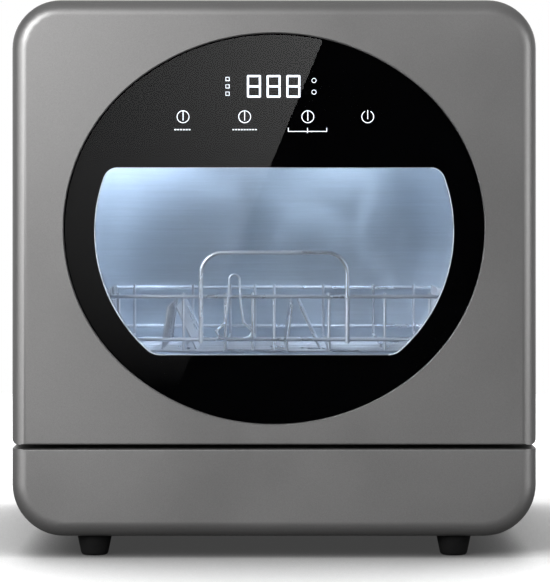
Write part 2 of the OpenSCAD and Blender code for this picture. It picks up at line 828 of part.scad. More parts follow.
module inlet_valve() {
    color(white) difference() {
        union() {
            port_wall(inlet_r, inlet_x, inlet_z);
            y_rod(inlet_r + 4, y_panel - 4, y_panel, inlet_x, inlet_z);
            block([inlet_x - 16, y_panel - 34, inlet_z - 16], [inlet_x + 16, y_panel - 4, inlet_z + 16]);
            z_rod(13, inlet_z + 16, inlet_z + 34, inlet_x, y_panel - 19);
            z_rod(hose_r, inlet_z, inlet_z + 40, inlet_x, filler_y);
            block([inlet_x - hose_r, filler_y - hose_r, inlet_z - 16],
                [inlet_x + hose_r, y_panel - 30, inlet_z + 16]);
        }
        y_rod(inlet_r - 4, y_panel - 30, y_back + over, inlet_x, inlet_z);
        z_rod(hose_bore, inlet_z + 17, inlet_z + 40 + over, inlet_x, filler_y);
    }
}

module drain_spigot() {
    color(grey) difference() {
        union() {
            port_wall(drain_r, drain_x, drain_z);
            y_rod(drain_r + 5, y_panel - 4, y_panel, drain_x, drain_z);
            y_rod(hose_r, y_panel - spigot_l, y_panel - over, drain_x, drain_z);
        }
        y_rod(hose_bore, y_panel - spigot_l - over, y_back + over, drain_x, drain_z);
    }
}

module cord_gland() {
    color(black) difference() {
        union() {
            y_rod(gland_r, y_panel - 8, y_back - 3, gland_x, gland_z);
            y_rod(gland_r + 4, y_panel - 4, y_panel, gland_x, gland_z);
            y_rod(gland_r + 3, y_panel + panel_t, y_panel + panel_t + 3, gland_x, gland_z);
        }
        y_rod(cord_r, y_panel - 8 - over, y_back, gland_x, gland_z);
    }
}

module supply_hose() {
    color(white) hose([[inlet_x, filler_y, inlet_z + 40 + face_gap],
        [inlet_x, filler_y, tank_z - port_l - face_gap]]);
}

module fill_hose() {
    top = tank_z - port_l - face_gap;
    end = sump_port_z - face_gap;
    z = end - hose_drop;
    color(white) hose([[fill_x, filler_y, top], [fill_x, filler_y, z], [fill_x, filter_y, z],
        [fill_x, filter_y, end]]);
}

module drain_hose() {
    y = drain_pump_y - 8;
    x0 = filter_x - drain_port_l - face_gap;
    y1 = y_panel - spigot_l - face_gap;
    color(grey) hose([[x0, y, pump_z], [drain_x, y, pump_z], [drain_x, y1, drain_z]]);
}

module feed_hose() {
    side_x = tub_w / 2 + tub_wall + hose_r + 6;
    high_z = tub_top + tub_wall + 26;
    low_z = tub_z - tub_wall - hose_r - 4;
    color(grey) hose([[0, feed_y, volute_top + face_gap], [0, feed_y, low_z], [side_x, feed_y, low_z],
        [side_x, hub_y, low_z], [side_x, hub_y, high_z], [0, hub_y, high_z],
        [0, hub_y, tub_top + tub_wall + 6 + face_gap]]);
}

module hinge_brackets() {
    corner_r = bottom_r - wall;
    corner_x = bracket_x + bracket_t / 2 - body_w / 2 + bottom_r;
    bracket_z = foot_h + bottom_r - sqrt(pow(corner_r, 2) - pow(max(corner_x, 0), 2)) + face_gap;
    color(steel) for (s = [-1, 1]) difference() {
        x0 = s * bracket_x - bracket_t / 2;
        x1 = s * bracket_x + bracket_t / 2;
        union() {
            x_rod(arm_half, x0, x1, hinge_y, hinge_z);
            block([x0, hinge_y, hinge_z - arm_half], [x1, y_frame + 40, hinge_z + arm_half]);
            block([x0 - 8, y_frame + face_gap, hinge_z - arm_half],
                [x1 + 8, y_frame + 2.5, hinge_z + arm_half]);
            block([x0, y_frame + 6, bracket_z], [x1, y_frame + 40, hinge_z + arm_half]);
        }
        x_rod(pin_r + run_gap, x0 - over, x1 + over, hinge_y, hinge_z);
    }
}

module latch_receiver() {
    color(black) difference() {
        block([-latch_slot_w / 2 - 6, y_frame + face_gap, tub_top + tub_wall + face_gap],
            [latch_slot_w / 2 + 6, y_frame + 24, latch_z + latch_slot_h / 2 + 4]);
        block([-latch_slot_w / 2, y_frame - over, latch_z - latch_slot_h / 2],
            [latch_slot_w / 2, y_frame + 20, latch_z + latch_slot_h / 2]);
    }
}

module latch_tongue() {
    color(white) union() {
        block([-10, y_door + face_gap, latch_z - 5], [10, y_case + frame_t + 8, latch_z + 4]);
        block([-10, y_case + frame_t + 2, latch_z], [10, y_case + frame_t + 8, latch_z + 6.5]);
        block([-17, y_door + face_gap, latch_z - 8], [17, y_door + 1.6, latch_z + 8]);
    }
}

module fan_housing() {
    color(black) difference() {
        union() {
            y_rod(fan_r + 3, fan_front, y_panel, fan_x, fan_z);
            block([duct_x0 - 2, duct_y0 - 2, tub_top + tub_wall + face_gap],
                [duct_x1 + 2, duct_y1 + 2, fan_z + 18]);
            block([duct_x0 - 2, duct_y0 - 2, tank_top + 4], [duct_x1 + 2, fan_front + over, fan_z + 18]);
        }
        y_rod(fan_r + 0.8, fan_front + 6, y_panel + over, fan_x, fan_z);
        block([duct_x0, duct_y0, tub_top], [duct_x1, duct_y1, fan_z + 16]);
        block([duct_x0, duct_y0, tank_top + 6], [duct_x1, fan_front - 2, fan_z + 16]);
        y_rod(fan_r - 4, fan_front - 3, fan_front + 7, fan_x, fan_z);
    }
    color(black) difference() {
        union() {
            y_rod(7, fan_front - 2, fan_front + 6, fan_x, fan_z);
            block([fan_x - fan_r, fan_front, fan_z - 2], [fan_x + fan_r, fan_front + 4, fan_z + 2]);
            block([fan_x - 2, fan_front, fan_z - fan_r], [fan_x + 2, fan_front + 4, fan_z + fan_r]);
        }
        y_rod(2 + run_gap, fan_front - 3, fan_front + 7, fan_x, fan_z);
    }
}

module fan_impeller() {
    color(grey) union() {
        y_rod(fan_hub_r, fan_front + 7, fan_front + 19, fan_x, fan_z);
        y_rod(2, fan_front - 1, fan_front + 8, fan_x, fan_z);
        for (a = [0 : 360 / 7 : 359]) translate([fan_x, fan_front + 13, fan_z]) rotate([0, a, 0])
            translate([0, 0, (fan_hub_r + fan_r - 1) / 2]) rotate([0, 0, 35])
                cube([1.4, 12, fan_r - fan_hub_r + 1], center = true);
    }
}

module tub_lamp() {
    color(white) block([-38, y_frame + 22, tub_top - 5], [38, y_frame + 36, tub_top - face_gap]);
}

module rack_rails() {
    x1 = tub_w / 2 - face_gap;
    y0 = y_frame + 4;
    y1 = y_tub - 10;
    top = rail_z + 2 * wheel_r + 5;
    color(white) for (s = [0, 1]) mirror([s, 0, 0]) intersection() {
        union() {
            block([x1 - rail_w, y0, rail_z - rail_t], [x1, y1, rail_z]);
            block([x1 - rail_t, y0, rail_z], [x1, y1, top + rail_t]);
            block([x1 - rail_w, y0, top], [x1, y1, top + rail_t]);
        }
        upright_plate(y0 - over, y1 + over) translate([0, tub_z + face_gap])
            outline(2 * x1, tub_h, tub_r, tub_r - face_gap);
    }
}

module feet() {
    color(black) for (s = [-1, 1], y = foot_y) translate([s * foot_x, y, 0]) union() {
        translate([0, 0, 2]) cylinder(r1 = 11.25, r2 = 14.35, h = foot_h - 2);
        cylinder(r1 = 10, r2 = 11.25, h = 2);
    }
}

module cabinet_screws() {
    color(steel) {
        for (s = [-1, 1], y = foot_y) union() {
            z_rod(screw_r, foot_h + face_gap, foot_h + wall + 1, s * foot_x, y);
            z_rod(4, foot_h + wall + face_gap, foot_h + wall + 2.6, s * foot_x, y);
        }
        for (p = panel_screw_places) difference() {
            union() {
                y_rod(screw_r, y_panel - 5, y_panel + panel_t + 1, p[0], p[1]);
                y_rod(3.4, y_panel + panel_t + face_gap, y_panel + panel_t + 2.2, p[0], p[1]);
            }
            block([p[0] - 2.2, y_panel + panel_t + 1.2, p[1] - 0.4],
                [p[0] + 2.2, y_panel + panel_t + 3, p[1] + 0.4]);
        }
    }
}

module power_board() {
    x0 = board_x[0] - 8;
    x1 = board_x[1] + 8;
    y0 = board_y[0] - 8;
    y1 = board_y[1] + 8;
    color([0.1, 0.35, 0.2]) union() {
        block([x0, y0, board_z + face_gap], [x1, y1, board_z + 1.6]);
        block([x0 + 14, y0 + 14, board_z + 1], [x0 + 44, y0 + 40, board_z + 26]);
        block([x1 - 34, y0 + 10, board_z + 1], [x1 - 16, y0 + 34, board_z + 18]);
        for (i = [0 : 2]) z_rod(7, board_z + 1, board_z + 24, x0 + 22 + i * 22, y1 - 16);
        for (i = [0 : 3])
            block([x1 - 42 + i * 9, y1 - 14, board_z + 1], [x1 - 36 + i * 9, y1 - 4, board_z + 14]);
    }
}

// The oval of the glass, built of four tangent arcs and drawn in by an inset.
// Its round ends reach in behind the middle, so that the three pieces overlap.
module oval_outline(inset) {
    end_x = glass_a - glass_end_r;
    flat_r = (pow(end_x, 2) + pow(glass_b, 2) - pow(glass_end_r, 2)) / (2 * (glass_b - glass_end_r));
    meet_x = end_x * (flat_r - inset) / (flat_r - glass_end_r);
    intersection() {
        flat_lens(flat_r, inset);
        square([2 * meet_x, 4 * glass_b], center = true);
    }
    for (s = [0, 1]) mirror([s, 0]) intersection() {
        translate([end_x, 0]) circle(glass_end_r - inset, $fn = 96);
        translate([meet_x / 2, -glass_b]) square([glass_a, 2 * glass_b]);
    }
}

// What the large discs of the oval's upper and lower arcs share
module flat_lens(flat_r, inset) {
    intersection() {
        translate([0, glass_b - flat_r]) circle(flat_r - inset, $fn = 96);
        translate([0, flat_r - glass_b]) circle(flat_r - inset, $fn = 96);
    }
}

module oval(inset, y0, y1) {
    upright_plate(y0, y1) translate([0, glass_z]) oval_outline(inset);
}

// The window, with arcs at its sides and corners, grown by an amount.
// Its pieces overlap, and each corner's disc meets the side arc where both have one tangent.
module window_outline(grow) {
    side_r = window_side_r + grow;
    side_x = window_a - window_side_r;
    up = window_z1 - window_mid_z - window_r;
    down = window_mid_z - window_z0 - window_low_r;
    high = up * side_r / (window_side_r - window_r);
    low = down * side_r / (window_side_r - window_low_r);
    translate([0, window_mid_z]) {
        for (s = [-1, 1]) intersection() {
            translate([s * side_x, 0]) circle(side_r, $fn = 96);
            translate([-2 * window_a, -low]) square([4 * window_a, high + low]);
        }
        window_end(side_x, up, window_r, grow);
        mirror([0, 1]) window_end(side_x, down, window_low_r, grow);
    }
}

// The upper end of the window: a block between the discs of its two corners
module window_end(side_x, dz, r, grow) {
    x = side_x + sqrt(pow(window_side_r - r, 2) - pow(dz, 2));
    translate([-x, -over]) square([2 * x, dz + r + grow + over]);
    for (s = [-1, 1]) translate([s * x, dz]) circle(r + grow);
}

module door_frame() {
    tunnel = 2.5;
    back_y = y_door - liner_t - face_gap;
    color(paint) difference() {
        union() {
            difference() {
                door_solid(0, 0);
                door_solid(wall, over);
            }
            oval(-glass_gap - wall, y_front + wall / 2, y_ledge + wall);
            upright_plate(y_ledge + wall - over, y_pane - face_gap) window_outline(tunnel + 1);
            block([-body_w / 2 + wall / 2, y_door - wall, z_door + door_r],
                [body_w / 2 - wall / 2, y_door, sill_z]);
            for (s = [-1, 1]) block([s * bracket_x - 13, y_front + wall / 2, z_door + wall / 2],
                [s * bracket_x + 13, y_door - wall / 2, sill_z - 3]);
            for (p = liner_screw_places) y_rod(4.5, y_front + wall / 2, back_y, p[0], p[1]);
            block([-grip_w / 2 - grip_wall, y_door - 18, z_top - grip_h - grip_wall],
                [grip_w / 2 + grip_wall, y_door, z_top - wall / 2]);
        }
        oval(-glass_gap, y_front - over, y_ledge);
        upright_plate(y_front - over, y_pane + over) window_outline(1);
        for (s = [-1, 1]) {
            block([s * bracket_x - bracket_t / 2 - slot_gap, hinge_y - arm_half - 0.7, z_door - over],
                [s * bracket_x + bracket_t / 2 + slot_gap, y_door + over, hinge_z + arm_half + 0.7]);
            x_rod(pin_r + face_gap, s * bracket_x - 10, s * bracket_x + 10, hinge_y, hinge_z);
        }
        for (p = liner_screw_places) y_rod(screw_r + face_gap, back_y - 8, back_y + over, p[0], p[1]);
        block([-grip_w / 2, y_door - 16, z_top - grip_h], [grip_w / 2, y_door + over, z_top + over]);
    }
}

module door_glass() {
    color([0.1, 0.1, 0.12, 0.4]) oval(0, y_glass, y_glass + glass_t);
}

module glass_mask() {
    color(black) difference() {
        oval(0.6, y_mask, y_mask + mask_t);
        upright_plate(y_mask - over, y_mask + mask_t + over) window_outline(0);
    }
}

// One seven-segment digit, centred on its place
module digit(x, z) {
    w = digit_w / 2;
    h = digit_h / 2;
    b = digit_bar;
    g = digit_gap;
    upright_plate(y_mark, y_mark + mark_t) translate([x, z]) {
        for (m = [0, 1]) mirror([0, m])
            polygon([[g - w, h], [w - g, h], [w - b - g, h - b], [b + g - w, h - b]]);
        polygon([[b / 2 + g - w, 0], [b + g - w, b / 2], [w - b - g, b / 2],
            [w - b / 2 - g, 0], [w - b - g, -b / 2], [b + g - w, -b / 2]]);
        for (m = [0, 1], n = [0, 1]) mirror([m, 0]) mirror([0, n])
            polygon([[w, g], [w, h - g], [w - b, h - b - g], [w - b, b / 2 + g], [w - b / 2, g]]);
    }
}

module display_digits() {
    sign_w = 3.3;
    color(white) {
        for (i = [-1 : 1]) digit(display_x + i * digit_pitch, display_z);
        for (z = [display_z - 4.7, display_z + 4.8]) ring(sign_x[1], z, 2, sign_line);
        for (i = [-1 : 1]) translate([sign_x[0], y_mark, display_z + i * 6]) difference() {
            block([-sign_w / 2, 0, -sign_w / 2], [sign_w / 2, mark_t, sign_w / 2]);
            block([sign_line - sign_w / 2, -over, sign_line - sign_w / 2],
                [sign_w / 2 - sign_line, mark_t + over, sign_w / 2 - sign_line]);
        }
    }
}

// A thin ring drawn under the glass
module ring(x, z, r, t) {
    difference() {
        y_rod(r, y_mark, y_mark + mark_t, x, z);
        y_rod(r - t, y_mark - over, y_mark + mark_t + over, x, z);
    }
}

// An upright stroke drawn under the glass
module stroke(x, z0, z1) {
    block([x - key_line / 2, y_mark, z0], [x + key_line / 2, y_mark + mark_t, z1]);
}

module touch_symbols() {
    color(white) {
        for (x = key_x) {
            ring(x, key_z, key_r, key_line);
            stroke(x, key_z - 3.1, key_z + key_r - key_line / 2);
        }
        difference() {
            ring(power_x, key_z, key_r, key_line);
            block([power_x - power_gap, y_mark - over, key_z],
                [power_x + power_gap, y_mark + mark_t + over, key_z + key_r + over]);
        }
        stroke(power_x, key_z - 1.9, key_z + 5.5);
        for (k = [0, 1], x = [-label_l[k] / 2 : dash_pitch : label_l[k] / 2 - dash_l])
            translate([key_x[k] + x, y_mark, label_z]) block([0, 0, -0.5], [dash_l, mark_t, 0.5]);
        block([bracket_x0 - key_line / 2, y_mark, bracket_z - key_line / 2],
            [bracket_x1 + key_line / 2, y_mark + mark_t, bracket_z + key_line / 2]);
        for (x = [bracket_x0, bracket_x1]) stroke(x, bracket_z, bracket_z + bracket_rise);
        stroke((bracket_x0 + bracket_x1) / 2, bracket_z - 1.3, bracket_z + bracket_rise);
    }
}

module display_board() {
    y0 = y_ledge + wall + face_gap;
    color([0.1, 0.35, 0.2]) union() {
        block([-90, y0, display_z - 37], [90, y0 + 1.6, display_z + 14]);
        block([-30, y0 + 1, display_z - 12], [30, y0 + 7, display_z + 12]);
        for (x = concat(key_x, [power_x])) y_rod(6, y0 + 1, y0 + 4, x, key_z);
        block([60, y0 + 1, display_z - 8], [84, y0 + 9, display_z + 8]);
    }
}

module door_liner() {
    z0 = sill_z + face_gap;
    z1 = z_top - wall - face_gap;
    in_w = body_w - 2 * wall - 2 * face_gap;
    notch_half = grip_w / 2 + grip_wall + face_gap;
    color(steel) difference() {
        upright_plate(y_door - liner_t, y_door) translate([0, z0])
            outline(in_w, z1 - z0, top_r - wall - face_gap, 0);
        block([-notch_half, y_door - liner_t - over, z_top - grip_h - grip_wall - face_gap],
            [notch_half, y_door + over, z_top]);
        upright_plate(y_door - liner_t - over, y_door + over) window_outline(3);
        block([cup_x - cup_w / 2 - 2 - face_gap, y_door - liner_t - over, cup_z - cup_h / 2 - 2 - face_gap],
            [cup_x + cup_w / 2 + 2 + face_gap, y_door + over, cup_z + cup_h / 2 + 2 + face_gap]);
        for (p = liner_screw_places)
            y_rod(screw_r + face_gap, y_door - liner_t - over, y_door + over, p[0], p[1]);
    }
}

module inner_glass() {
    color([0.8, 0.85, 0.9, 0.3]) upright_plate(y_pane, y_pane + pane_t) window_outline(11);
}

module inner_glass_seal() {
    color(black) difference() {
        upright_plate(y_pane + pane_t + face_gap, y_door - liner_t - face_gap) window_outline(10.5);
        upright_plate(y_pane + pane_t - over, y_door + over) window_outline(4.5);
    }
}

module hinge_pins() {
    color(steel) for (s = [-1, 1]) x_rod(pin_r, s * bracket_x - 9.5, s * bracket_x + 9.5, hinge_y, hinge_z);
}

module liner_screws() {
    color(steel) for (p = liner_screw_places) union() {
        y_rod(screw_r, y_door - liner_t - 8, y_door + 0.8, p[0], p[1]);
        y_rod(4, y_door + face_gap, y_door + 1.4, p[0], p[1]);
    }
}

module detergent_cup() {
    half_l = cup_w / 2 + 2;
    half_h = cup_h / 2 + 2;
    x0 = cup_x - half_l - cup_rim - lid_slide;
    x1 = cup_x + half_l + cup_rim;
    edge = half_h + body_gap;
    color(grey) difference() {
        union() {
            block([cup_x - half_l, y_door - cup_deep - 2, cup_z - half_h],
                [cup_x + half_l, y_door + 0.5, cup_z + half_h]);
            block([x0, y_door + face_gap, cup_z - edge - 2], [x1, y_door + 0.9, cup_z + edge + 2]);
            for (s = [0, 1]) translate([0, 0, cup_z]) mirror([0, 0, s]) {
                block([x0, y_door + face_gap, edge], [x1, y_door + 4.3, edge + 2]);
                block([x0, y_door + 3.3, edge - 2.3], [x1, y_door + 4.3, edge + 2]);
            }
        }
        block([cup_x - cup_w / 2, y_door - cup_deep, cup_z - cup_h / 2],
            [cup_x + cup_w / 2, y_door + over, cup_z + cup_h / 2]);
    }
}

module detergent_lid() {
    half_l = cup_w / 2 + 2;
    half_h = cup_h / 2 + 2;
    color(grey) union() {
        block([cup_x - half_l, y_door + 1.2, cup_z - half_h], [cup_x + half_l, y_door + 3, cup_z + half_h]);
        for (i = [-1 : 1])
            block([cup_x + i * 5 - 1, y_door + 2.5, cup_z - 12], [cup_x + i * 5 + 1, y_door + 5, cup_z + 12]);
    }
}

// A closed loop of rim wire at one height
module rim_loop(z) {
    hw = rack_w / 2 - rim_bend;
    hd = rack_d / 2 - rim_bend;
    for (y = [rack_front, rack_back]) x_rod(rim_r, -hw, hw, y, z);
    for (s = [-1, 1]) y_rod(rim_r, rack_mid - hd, rack_mid + hd, s * rack_w / 2, z);
    for (sx = [0, 1], sy = [0, 1]) translate([0, rack_mid, z]) mirror([sx, 0, 0]) mirror([0, sy, 0])
        translate([hw, hd, 0]) rotate_extrude(angle = 90) translate([rim_bend, 0]) circle(rim_r);
}

module rack_rims() {
    color(steel) {
        rim_loop(z_rim);
        rim_loop(z_low);
    }
}

module rack_uprights() {
    color(steel) {
        for (x = upright_x, y = [rack_front + wire_in, rack_back - wire_in])
            z_rod(wire_r, z_wire - wire_r, z_rim + 3, x, y);
        for (i = [-4 : 4], s = [-1, 1])
            z_rod(wire_r, z_cross - wire_r, z_rim + 3, s * (rack_w / 2 - wire_in),
                rack_mid + i * cross_pitch);
    }
}

module rack_floor() {
    reach = wire_in + wire_r + face_gap;
    color(steel) {
        for (x = upright_x) y_rod(wire_r, rack_front + reach, rack_back - reach, x, z_wire);
        for (i = [-4 : 4])
            x_rod(wire_r, -rack_w / 2 + reach, rack_w / 2 - reach, rack_mid + i * cross_pitch, z_cross);
    }
}

module rack_tines() {
    color(steel) for (i = [-4 : 4], bank = tine_banks) {
        y = rack_mid + i * cross_pitch + wire_r + tine_r + face_gap;
        rod([bank + 10, y, z_cross], [bank + 15, y, z_cross + tine_h], tine_r);
        rod([bank + 40, y, z_cross], [bank + 22, y, z_cross + tine_h], tine_r);
    }
}

module rack_handle() {
    y = rack_front - rim_r - handle_r - face_gap;
    top = z_rim + handle_up;
    color(steel) union() {
        for (s = [-1, 1]) z_rod(handle_r, z_low - 3, top - rim_bend, s * handle_half, y);
        x_rod(handle_r, -handle_half + rim_bend, handle_half - rim_bend, y, top);
        for (s = [0, 1]) mirror([s, 0, 0]) translate([handle_half - rim_bend, y, top - rim_bend])
            rotate([90, 0, 0]) rotate_extrude(angle = 90) translate([rim_bend, 0]) circle(handle_r);
    }
}

module rack_clip() {
    y = rack_front - rim_r - clip_r - face_gap;
    half = [for (p = clip_path) [p[0], y, z_low + p[1]]];
    color(steel) union() {
        for (s = [0, 1]) translate([clip_x, 0, 0]) mirror([s, 0, 0]) for (i = [0 : len(half) - 2]) {
            rod(half[i], half[i + 1], clip_r);
            translate(half[i]) rotate([0, 0, 45]) sphere(clip_r * 1.04);
        }
        translate([clip_x, y, half[0][2]]) rotate([90, 0, 0]) rotate_extrude(angle = 180)
            translate([clip_path[0][0], 0]) circle(clip_r);
    }
}

module wheel_axles() {
    color(steel) for (p = wheel_places) translate([0, p[1], 0]) mirror([p[0] < 0 ? 1 : 0, 0, 0]) union() {
        block([rack_w / 2 - 1.5, -6, wheel_z - 6], [rack_w / 2 + 1.5, 6, z_low - rim_r - face_gap]);
        x_rod(5, rack_w / 2 + 1, wheel_x - wheel_w / 2 - 0.4, 0, wheel_z);
        x_rod(axle_r, rack_w / 2, wheel_x + wheel_w / 2 + 1.6, 0, wheel_z);
        x_rod(4.2, wheel_x + wheel_w / 2 + 0.4, wheel_x + wheel_w / 2 + 2.2, 0, wheel_z);
    }
}

module wheel(place) {
    x = place[0] * wheel_x;
    color(white) difference() {
        x_rod(wheel_r, x - wheel_w / 2, x + wheel_w / 2, place[1], wheel_z);
        x_rod(axle_r + run_gap, x - wheel_w, x + wheel_w, place[1], wheel_z);
        for (s = [-1, 1], a = [0 : 72 : 288])
            translate([x + s * wheel_w / 2, place[1], wheel_z]) rotate([a, 0, 0])
                x_rod(wheel_r * 0.18, -1.2, 1.2, 0, wheel_r * 0.6);
    }
}

module wheel_front_left() {
    wheel(wheel_places[0]);
}

module wheel_front_right() {
    wheel(wheel_places[1]);
}

module wheel_back_left() {
    wheel(wheel_places[2]);
}

module wheel_back_right() {
    wheel(wheel_places[3]);
}

base_housing();
outer_shell();
rear_panel();
front_frame();
tub();
tub_seal();
sump();
heater_ring();
filter_plate();
lower_hub();
upper_hub();
wash_pump();
drain_pump();
water_tank();
filler_neck();
inlet_valve();
drain_spigot();
cord_gland();
supply_hose();
fill_hose();
drain_hose();
feed_hose();
hinge_brackets();
latch_receiver();
fan_housing();
tub_lamp();
rack_rails();
feet();
cabinet_screws();
power_board();
door_frame();
door_glass();
glass_mask();
display_digits();
touch_symbols();
display_board();
door_liner();
inner_glass();
inner_glass_seal();
hinge_pins();
latch_tongue();
detergent_cup();
liner_screws();
detergent_lid();
rack_rims();
rack_uprights();
rack_floor();
rack_tines();
rack_handle();
rack_clip();
wheel_axles();
wheel_front_left();
wheel_front_right();
wheel_back_left();
wheel_back_right();
lower_spray_arm();
upper_spray_arm();
filter_cup();
filler_lid();
fan_impeller();
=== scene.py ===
"""Looks of a countertop dishwasher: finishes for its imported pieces, modelled pieces and a photo stage."""

import json
import math

import bmesh
import bpy
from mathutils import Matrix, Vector


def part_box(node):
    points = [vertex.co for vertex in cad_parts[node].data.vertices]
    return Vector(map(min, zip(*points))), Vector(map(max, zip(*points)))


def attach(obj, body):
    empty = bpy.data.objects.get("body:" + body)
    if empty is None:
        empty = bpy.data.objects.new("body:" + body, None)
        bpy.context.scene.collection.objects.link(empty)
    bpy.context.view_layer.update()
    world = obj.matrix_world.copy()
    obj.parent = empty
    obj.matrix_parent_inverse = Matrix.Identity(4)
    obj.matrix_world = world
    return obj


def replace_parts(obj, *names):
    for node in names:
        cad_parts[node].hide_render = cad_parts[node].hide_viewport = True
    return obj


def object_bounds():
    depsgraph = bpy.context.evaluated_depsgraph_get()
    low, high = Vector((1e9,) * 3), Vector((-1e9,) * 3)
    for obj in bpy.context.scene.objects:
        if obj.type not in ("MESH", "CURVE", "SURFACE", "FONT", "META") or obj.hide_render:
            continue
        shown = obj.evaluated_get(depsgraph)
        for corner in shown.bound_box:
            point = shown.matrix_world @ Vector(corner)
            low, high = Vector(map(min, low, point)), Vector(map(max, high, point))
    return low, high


bl_info = {
    "name": "Countertop Dishwasher",
    "version": (1, 0, 0),
    "blender": (4, 5, 0),
    "location": "3D View > Sidebar > Dishwasher",
    "description": "Dresses the packed dishwasher and sets up its photo stage",
    "category": "Object",
}

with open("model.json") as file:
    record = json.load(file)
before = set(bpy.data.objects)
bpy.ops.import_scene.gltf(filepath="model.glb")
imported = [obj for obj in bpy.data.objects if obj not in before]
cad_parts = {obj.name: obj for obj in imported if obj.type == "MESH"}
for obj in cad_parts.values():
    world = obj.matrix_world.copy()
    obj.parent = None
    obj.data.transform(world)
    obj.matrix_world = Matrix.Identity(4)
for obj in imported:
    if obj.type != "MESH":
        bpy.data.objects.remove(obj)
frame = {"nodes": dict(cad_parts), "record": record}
cad_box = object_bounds()
bpy.ops.object.select_all(action="DESELECT")

MM = 0.001
MERGE = 0.002 * MM  # points nearer than this are one


def colour_property(name, description, default):
    return bpy.props.FloatVectorProperty(
        name=name, description=description, default=default, size=3, min=0, max=1, subtype="COLOR"
    )


def length_property(name, description, default):
    return bpy.props.FloatProperty(
        name=name, description=description, default=default, min=0, subtype="DISTANCE", unit="LENGTH"
    )


def share_property(name, description, default):
    return bpy.props.FloatProperty(
        name=name, description=description, default=default, min=0, max=1, subtype="FACTOR"
    )


def power_property(name, description, default):
    return bpy.props.FloatProperty(
        name=name, description=description, default=default, min=0, subtype="POWER", unit="POWER"
    )


class DishwasherFinish(bpy.types.PropertyGroup):
    """Colours and gloss of the surfaces"""

    paint: colour_property("Paint", "Gunmetal paint of the body", (0.197, 0.195, 0.194))
    paint_roughness: share_property("Paint roughness", "How dull the paint is", 0.45)
    steel: colour_property("Steel", "Brushed steel of the tub", (0.70, 0.74, 0.80))
    wire: colour_property("Wire", "Polished wire of the rack", (0.78, 0.76, 0.78))
    black: colour_property("Black", "Black plastic and rubber", (0.009, 0.009, 0.0095))
    rubber: colour_property("Rubber", "Black rubber of the feet and seals", (0.0045, 0.0045, 0.0047))
    grey: colour_property("Grey", "Grey plastic", (0.24, 0.25, 0.27))
    white: colour_property("White", "White plastic", (0.78, 0.79, 0.80))
    marks: colour_property("Marks", "Lit signs behind the glass", (0.93, 0.96, 1.0))
    mark_strength: bpy.props.FloatProperty(
        name="Mark strength", description="Brightness of the lit digits", default=0.75, min=0
    )


class DishwasherSizes(bpy.types.PropertyGroup):
    """Sizes of the modelled pieces"""

    edge: length_property("Edge", "Width of the small bevel on hard edges", 0.35 * MM)
    paint_edge: length_property("Painted edge", "Width of the bevel on the painted pieces' edges", 0.7 * MM)
    # The pale line round the window is a painted highlight: it stands in for the light caught by the cut edge
    # of the opening.
    edge_highlight: length_property("Painted window highlight", "Width of the pale line round the window", 0.6 * MM)
    # The black bevel round the door's glass is painted shade: it stands in for the dark gap between the glass
    # and the paint.
    painted_gap_shade: length_property("Painted gap shade", "Width of the black bevel round the door's glass", 1.2 * MM)
    bead: length_property("Bead", "How far the pressed beads of the sheet metal stand proud", 1.1 * MM)
    weld: length_property("Weld", "Radius of the weld spots of the rack", 1.15 * MM)


class DishwasherStage(bpy.types.PropertyGroup):
    """Camera and lamps"""

    distance: length_property("Distance", "Camera distance from the front of the door", 2.2)
    eye: length_property("Eye height", "Height of the camera", 0.285)
    view_height: length_property("View height", "Height of the picture at the front of the door", 0.4753)
    view_middle: length_property("View middle", "Height of the picture's middle", 0.2185)
    view_right: length_property("View right", "How far right of the body the picture's middle is", 0.0007)
    key: power_property("Key lamp", "Power of the large lamp at the upper left", 66)
    fill: power_property("Fill lamp", "Power of the lamp at the right", 7)
    top: power_property("Top lamp", "Power of the lamp above and behind", 60)
    rim: power_property("Rim lamps", "Power of the two strips beside the body", 6)
    inside: power_property("Inside lamp", "Power of the lamp in the tub", 1.15)
    ambient: share_property("Ambient", "Even light on dull surfaces", 0.27)
    dark: share_property("Dark", "How bright the dark part of the room looks in gloss", 0.004)


def finish():
    return bpy.context.scene.dishwasher_finish


def sizes():
    return bpy.context.scene.dishwasher_sizes


def stage():
    return bpy.context.scene.dishwasher_stage


# Shader nodes


def node(tree, kind, inputs=None, **settings):
    """Adds a shader node; each input takes a value or a socket to link."""
    made = tree.nodes.new(kind)
    for name, value in settings.items():
        setattr(made, name, value)
    for name, value in (inputs or {}).items():
        if isinstance(value, bpy.types.NodeSocket):
            tree.links.new(value, made.inputs[name])
        else:
            made.inputs[name].default_value = value
    return made


def math_node(tree, operation, first, second=0.0):
    return node(tree, "ShaderNodeMath", {0: first, 1: second}, operation=operation).outputs[0]


def group_tree(name, inputs, outputs):
    """A new node group with its sockets; returns the tree, its input node and its output node."""
    tree = bpy.data.node_groups.new(name, "ShaderNodeTree")
    for title, kind, default in inputs:
        socket = tree.interface.new_socket(name=title, in_out="INPUT", socket_type="NodeSocket" + kind)
        if default is not None:
            socket.default_value = default
    for title, kind in outputs:
        tree.interface.new_socket(name=title, in_out="OUTPUT", socket_type="NodeSocket" + kind)
    return tree, tree.nodes.new("NodeGroupInput"), tree.nodes.new("NodeGroupOutput")


def grain_group():
    """Small even grain, as a mask from 0 to 1"""
    tree, given, result = group_tree(
        "Fine Grain", [("Vector", "Vector", None), ("Scale", "Float", 900.0)], [("Mask", "Float")]
    )
    fine = node(
        tree,
        "ShaderNodeTexNoise",
        {"Vector": given.outputs["Vector"], "Scale": given.outputs["Scale"], "Detail": 2.0, "Roughness": 0.6},
    )
    shaped = node(
        tree,
        "ShaderNodeMapRange",
        {"Value": fine.outputs["Fac"], "From Min": 0.3, "From Max": 0.7},
        interpolation_type="SMOOTHSTEP",
    )
    tree.links.new(shaped.outputs["Result"], result.inputs["Mask"])
    return tree


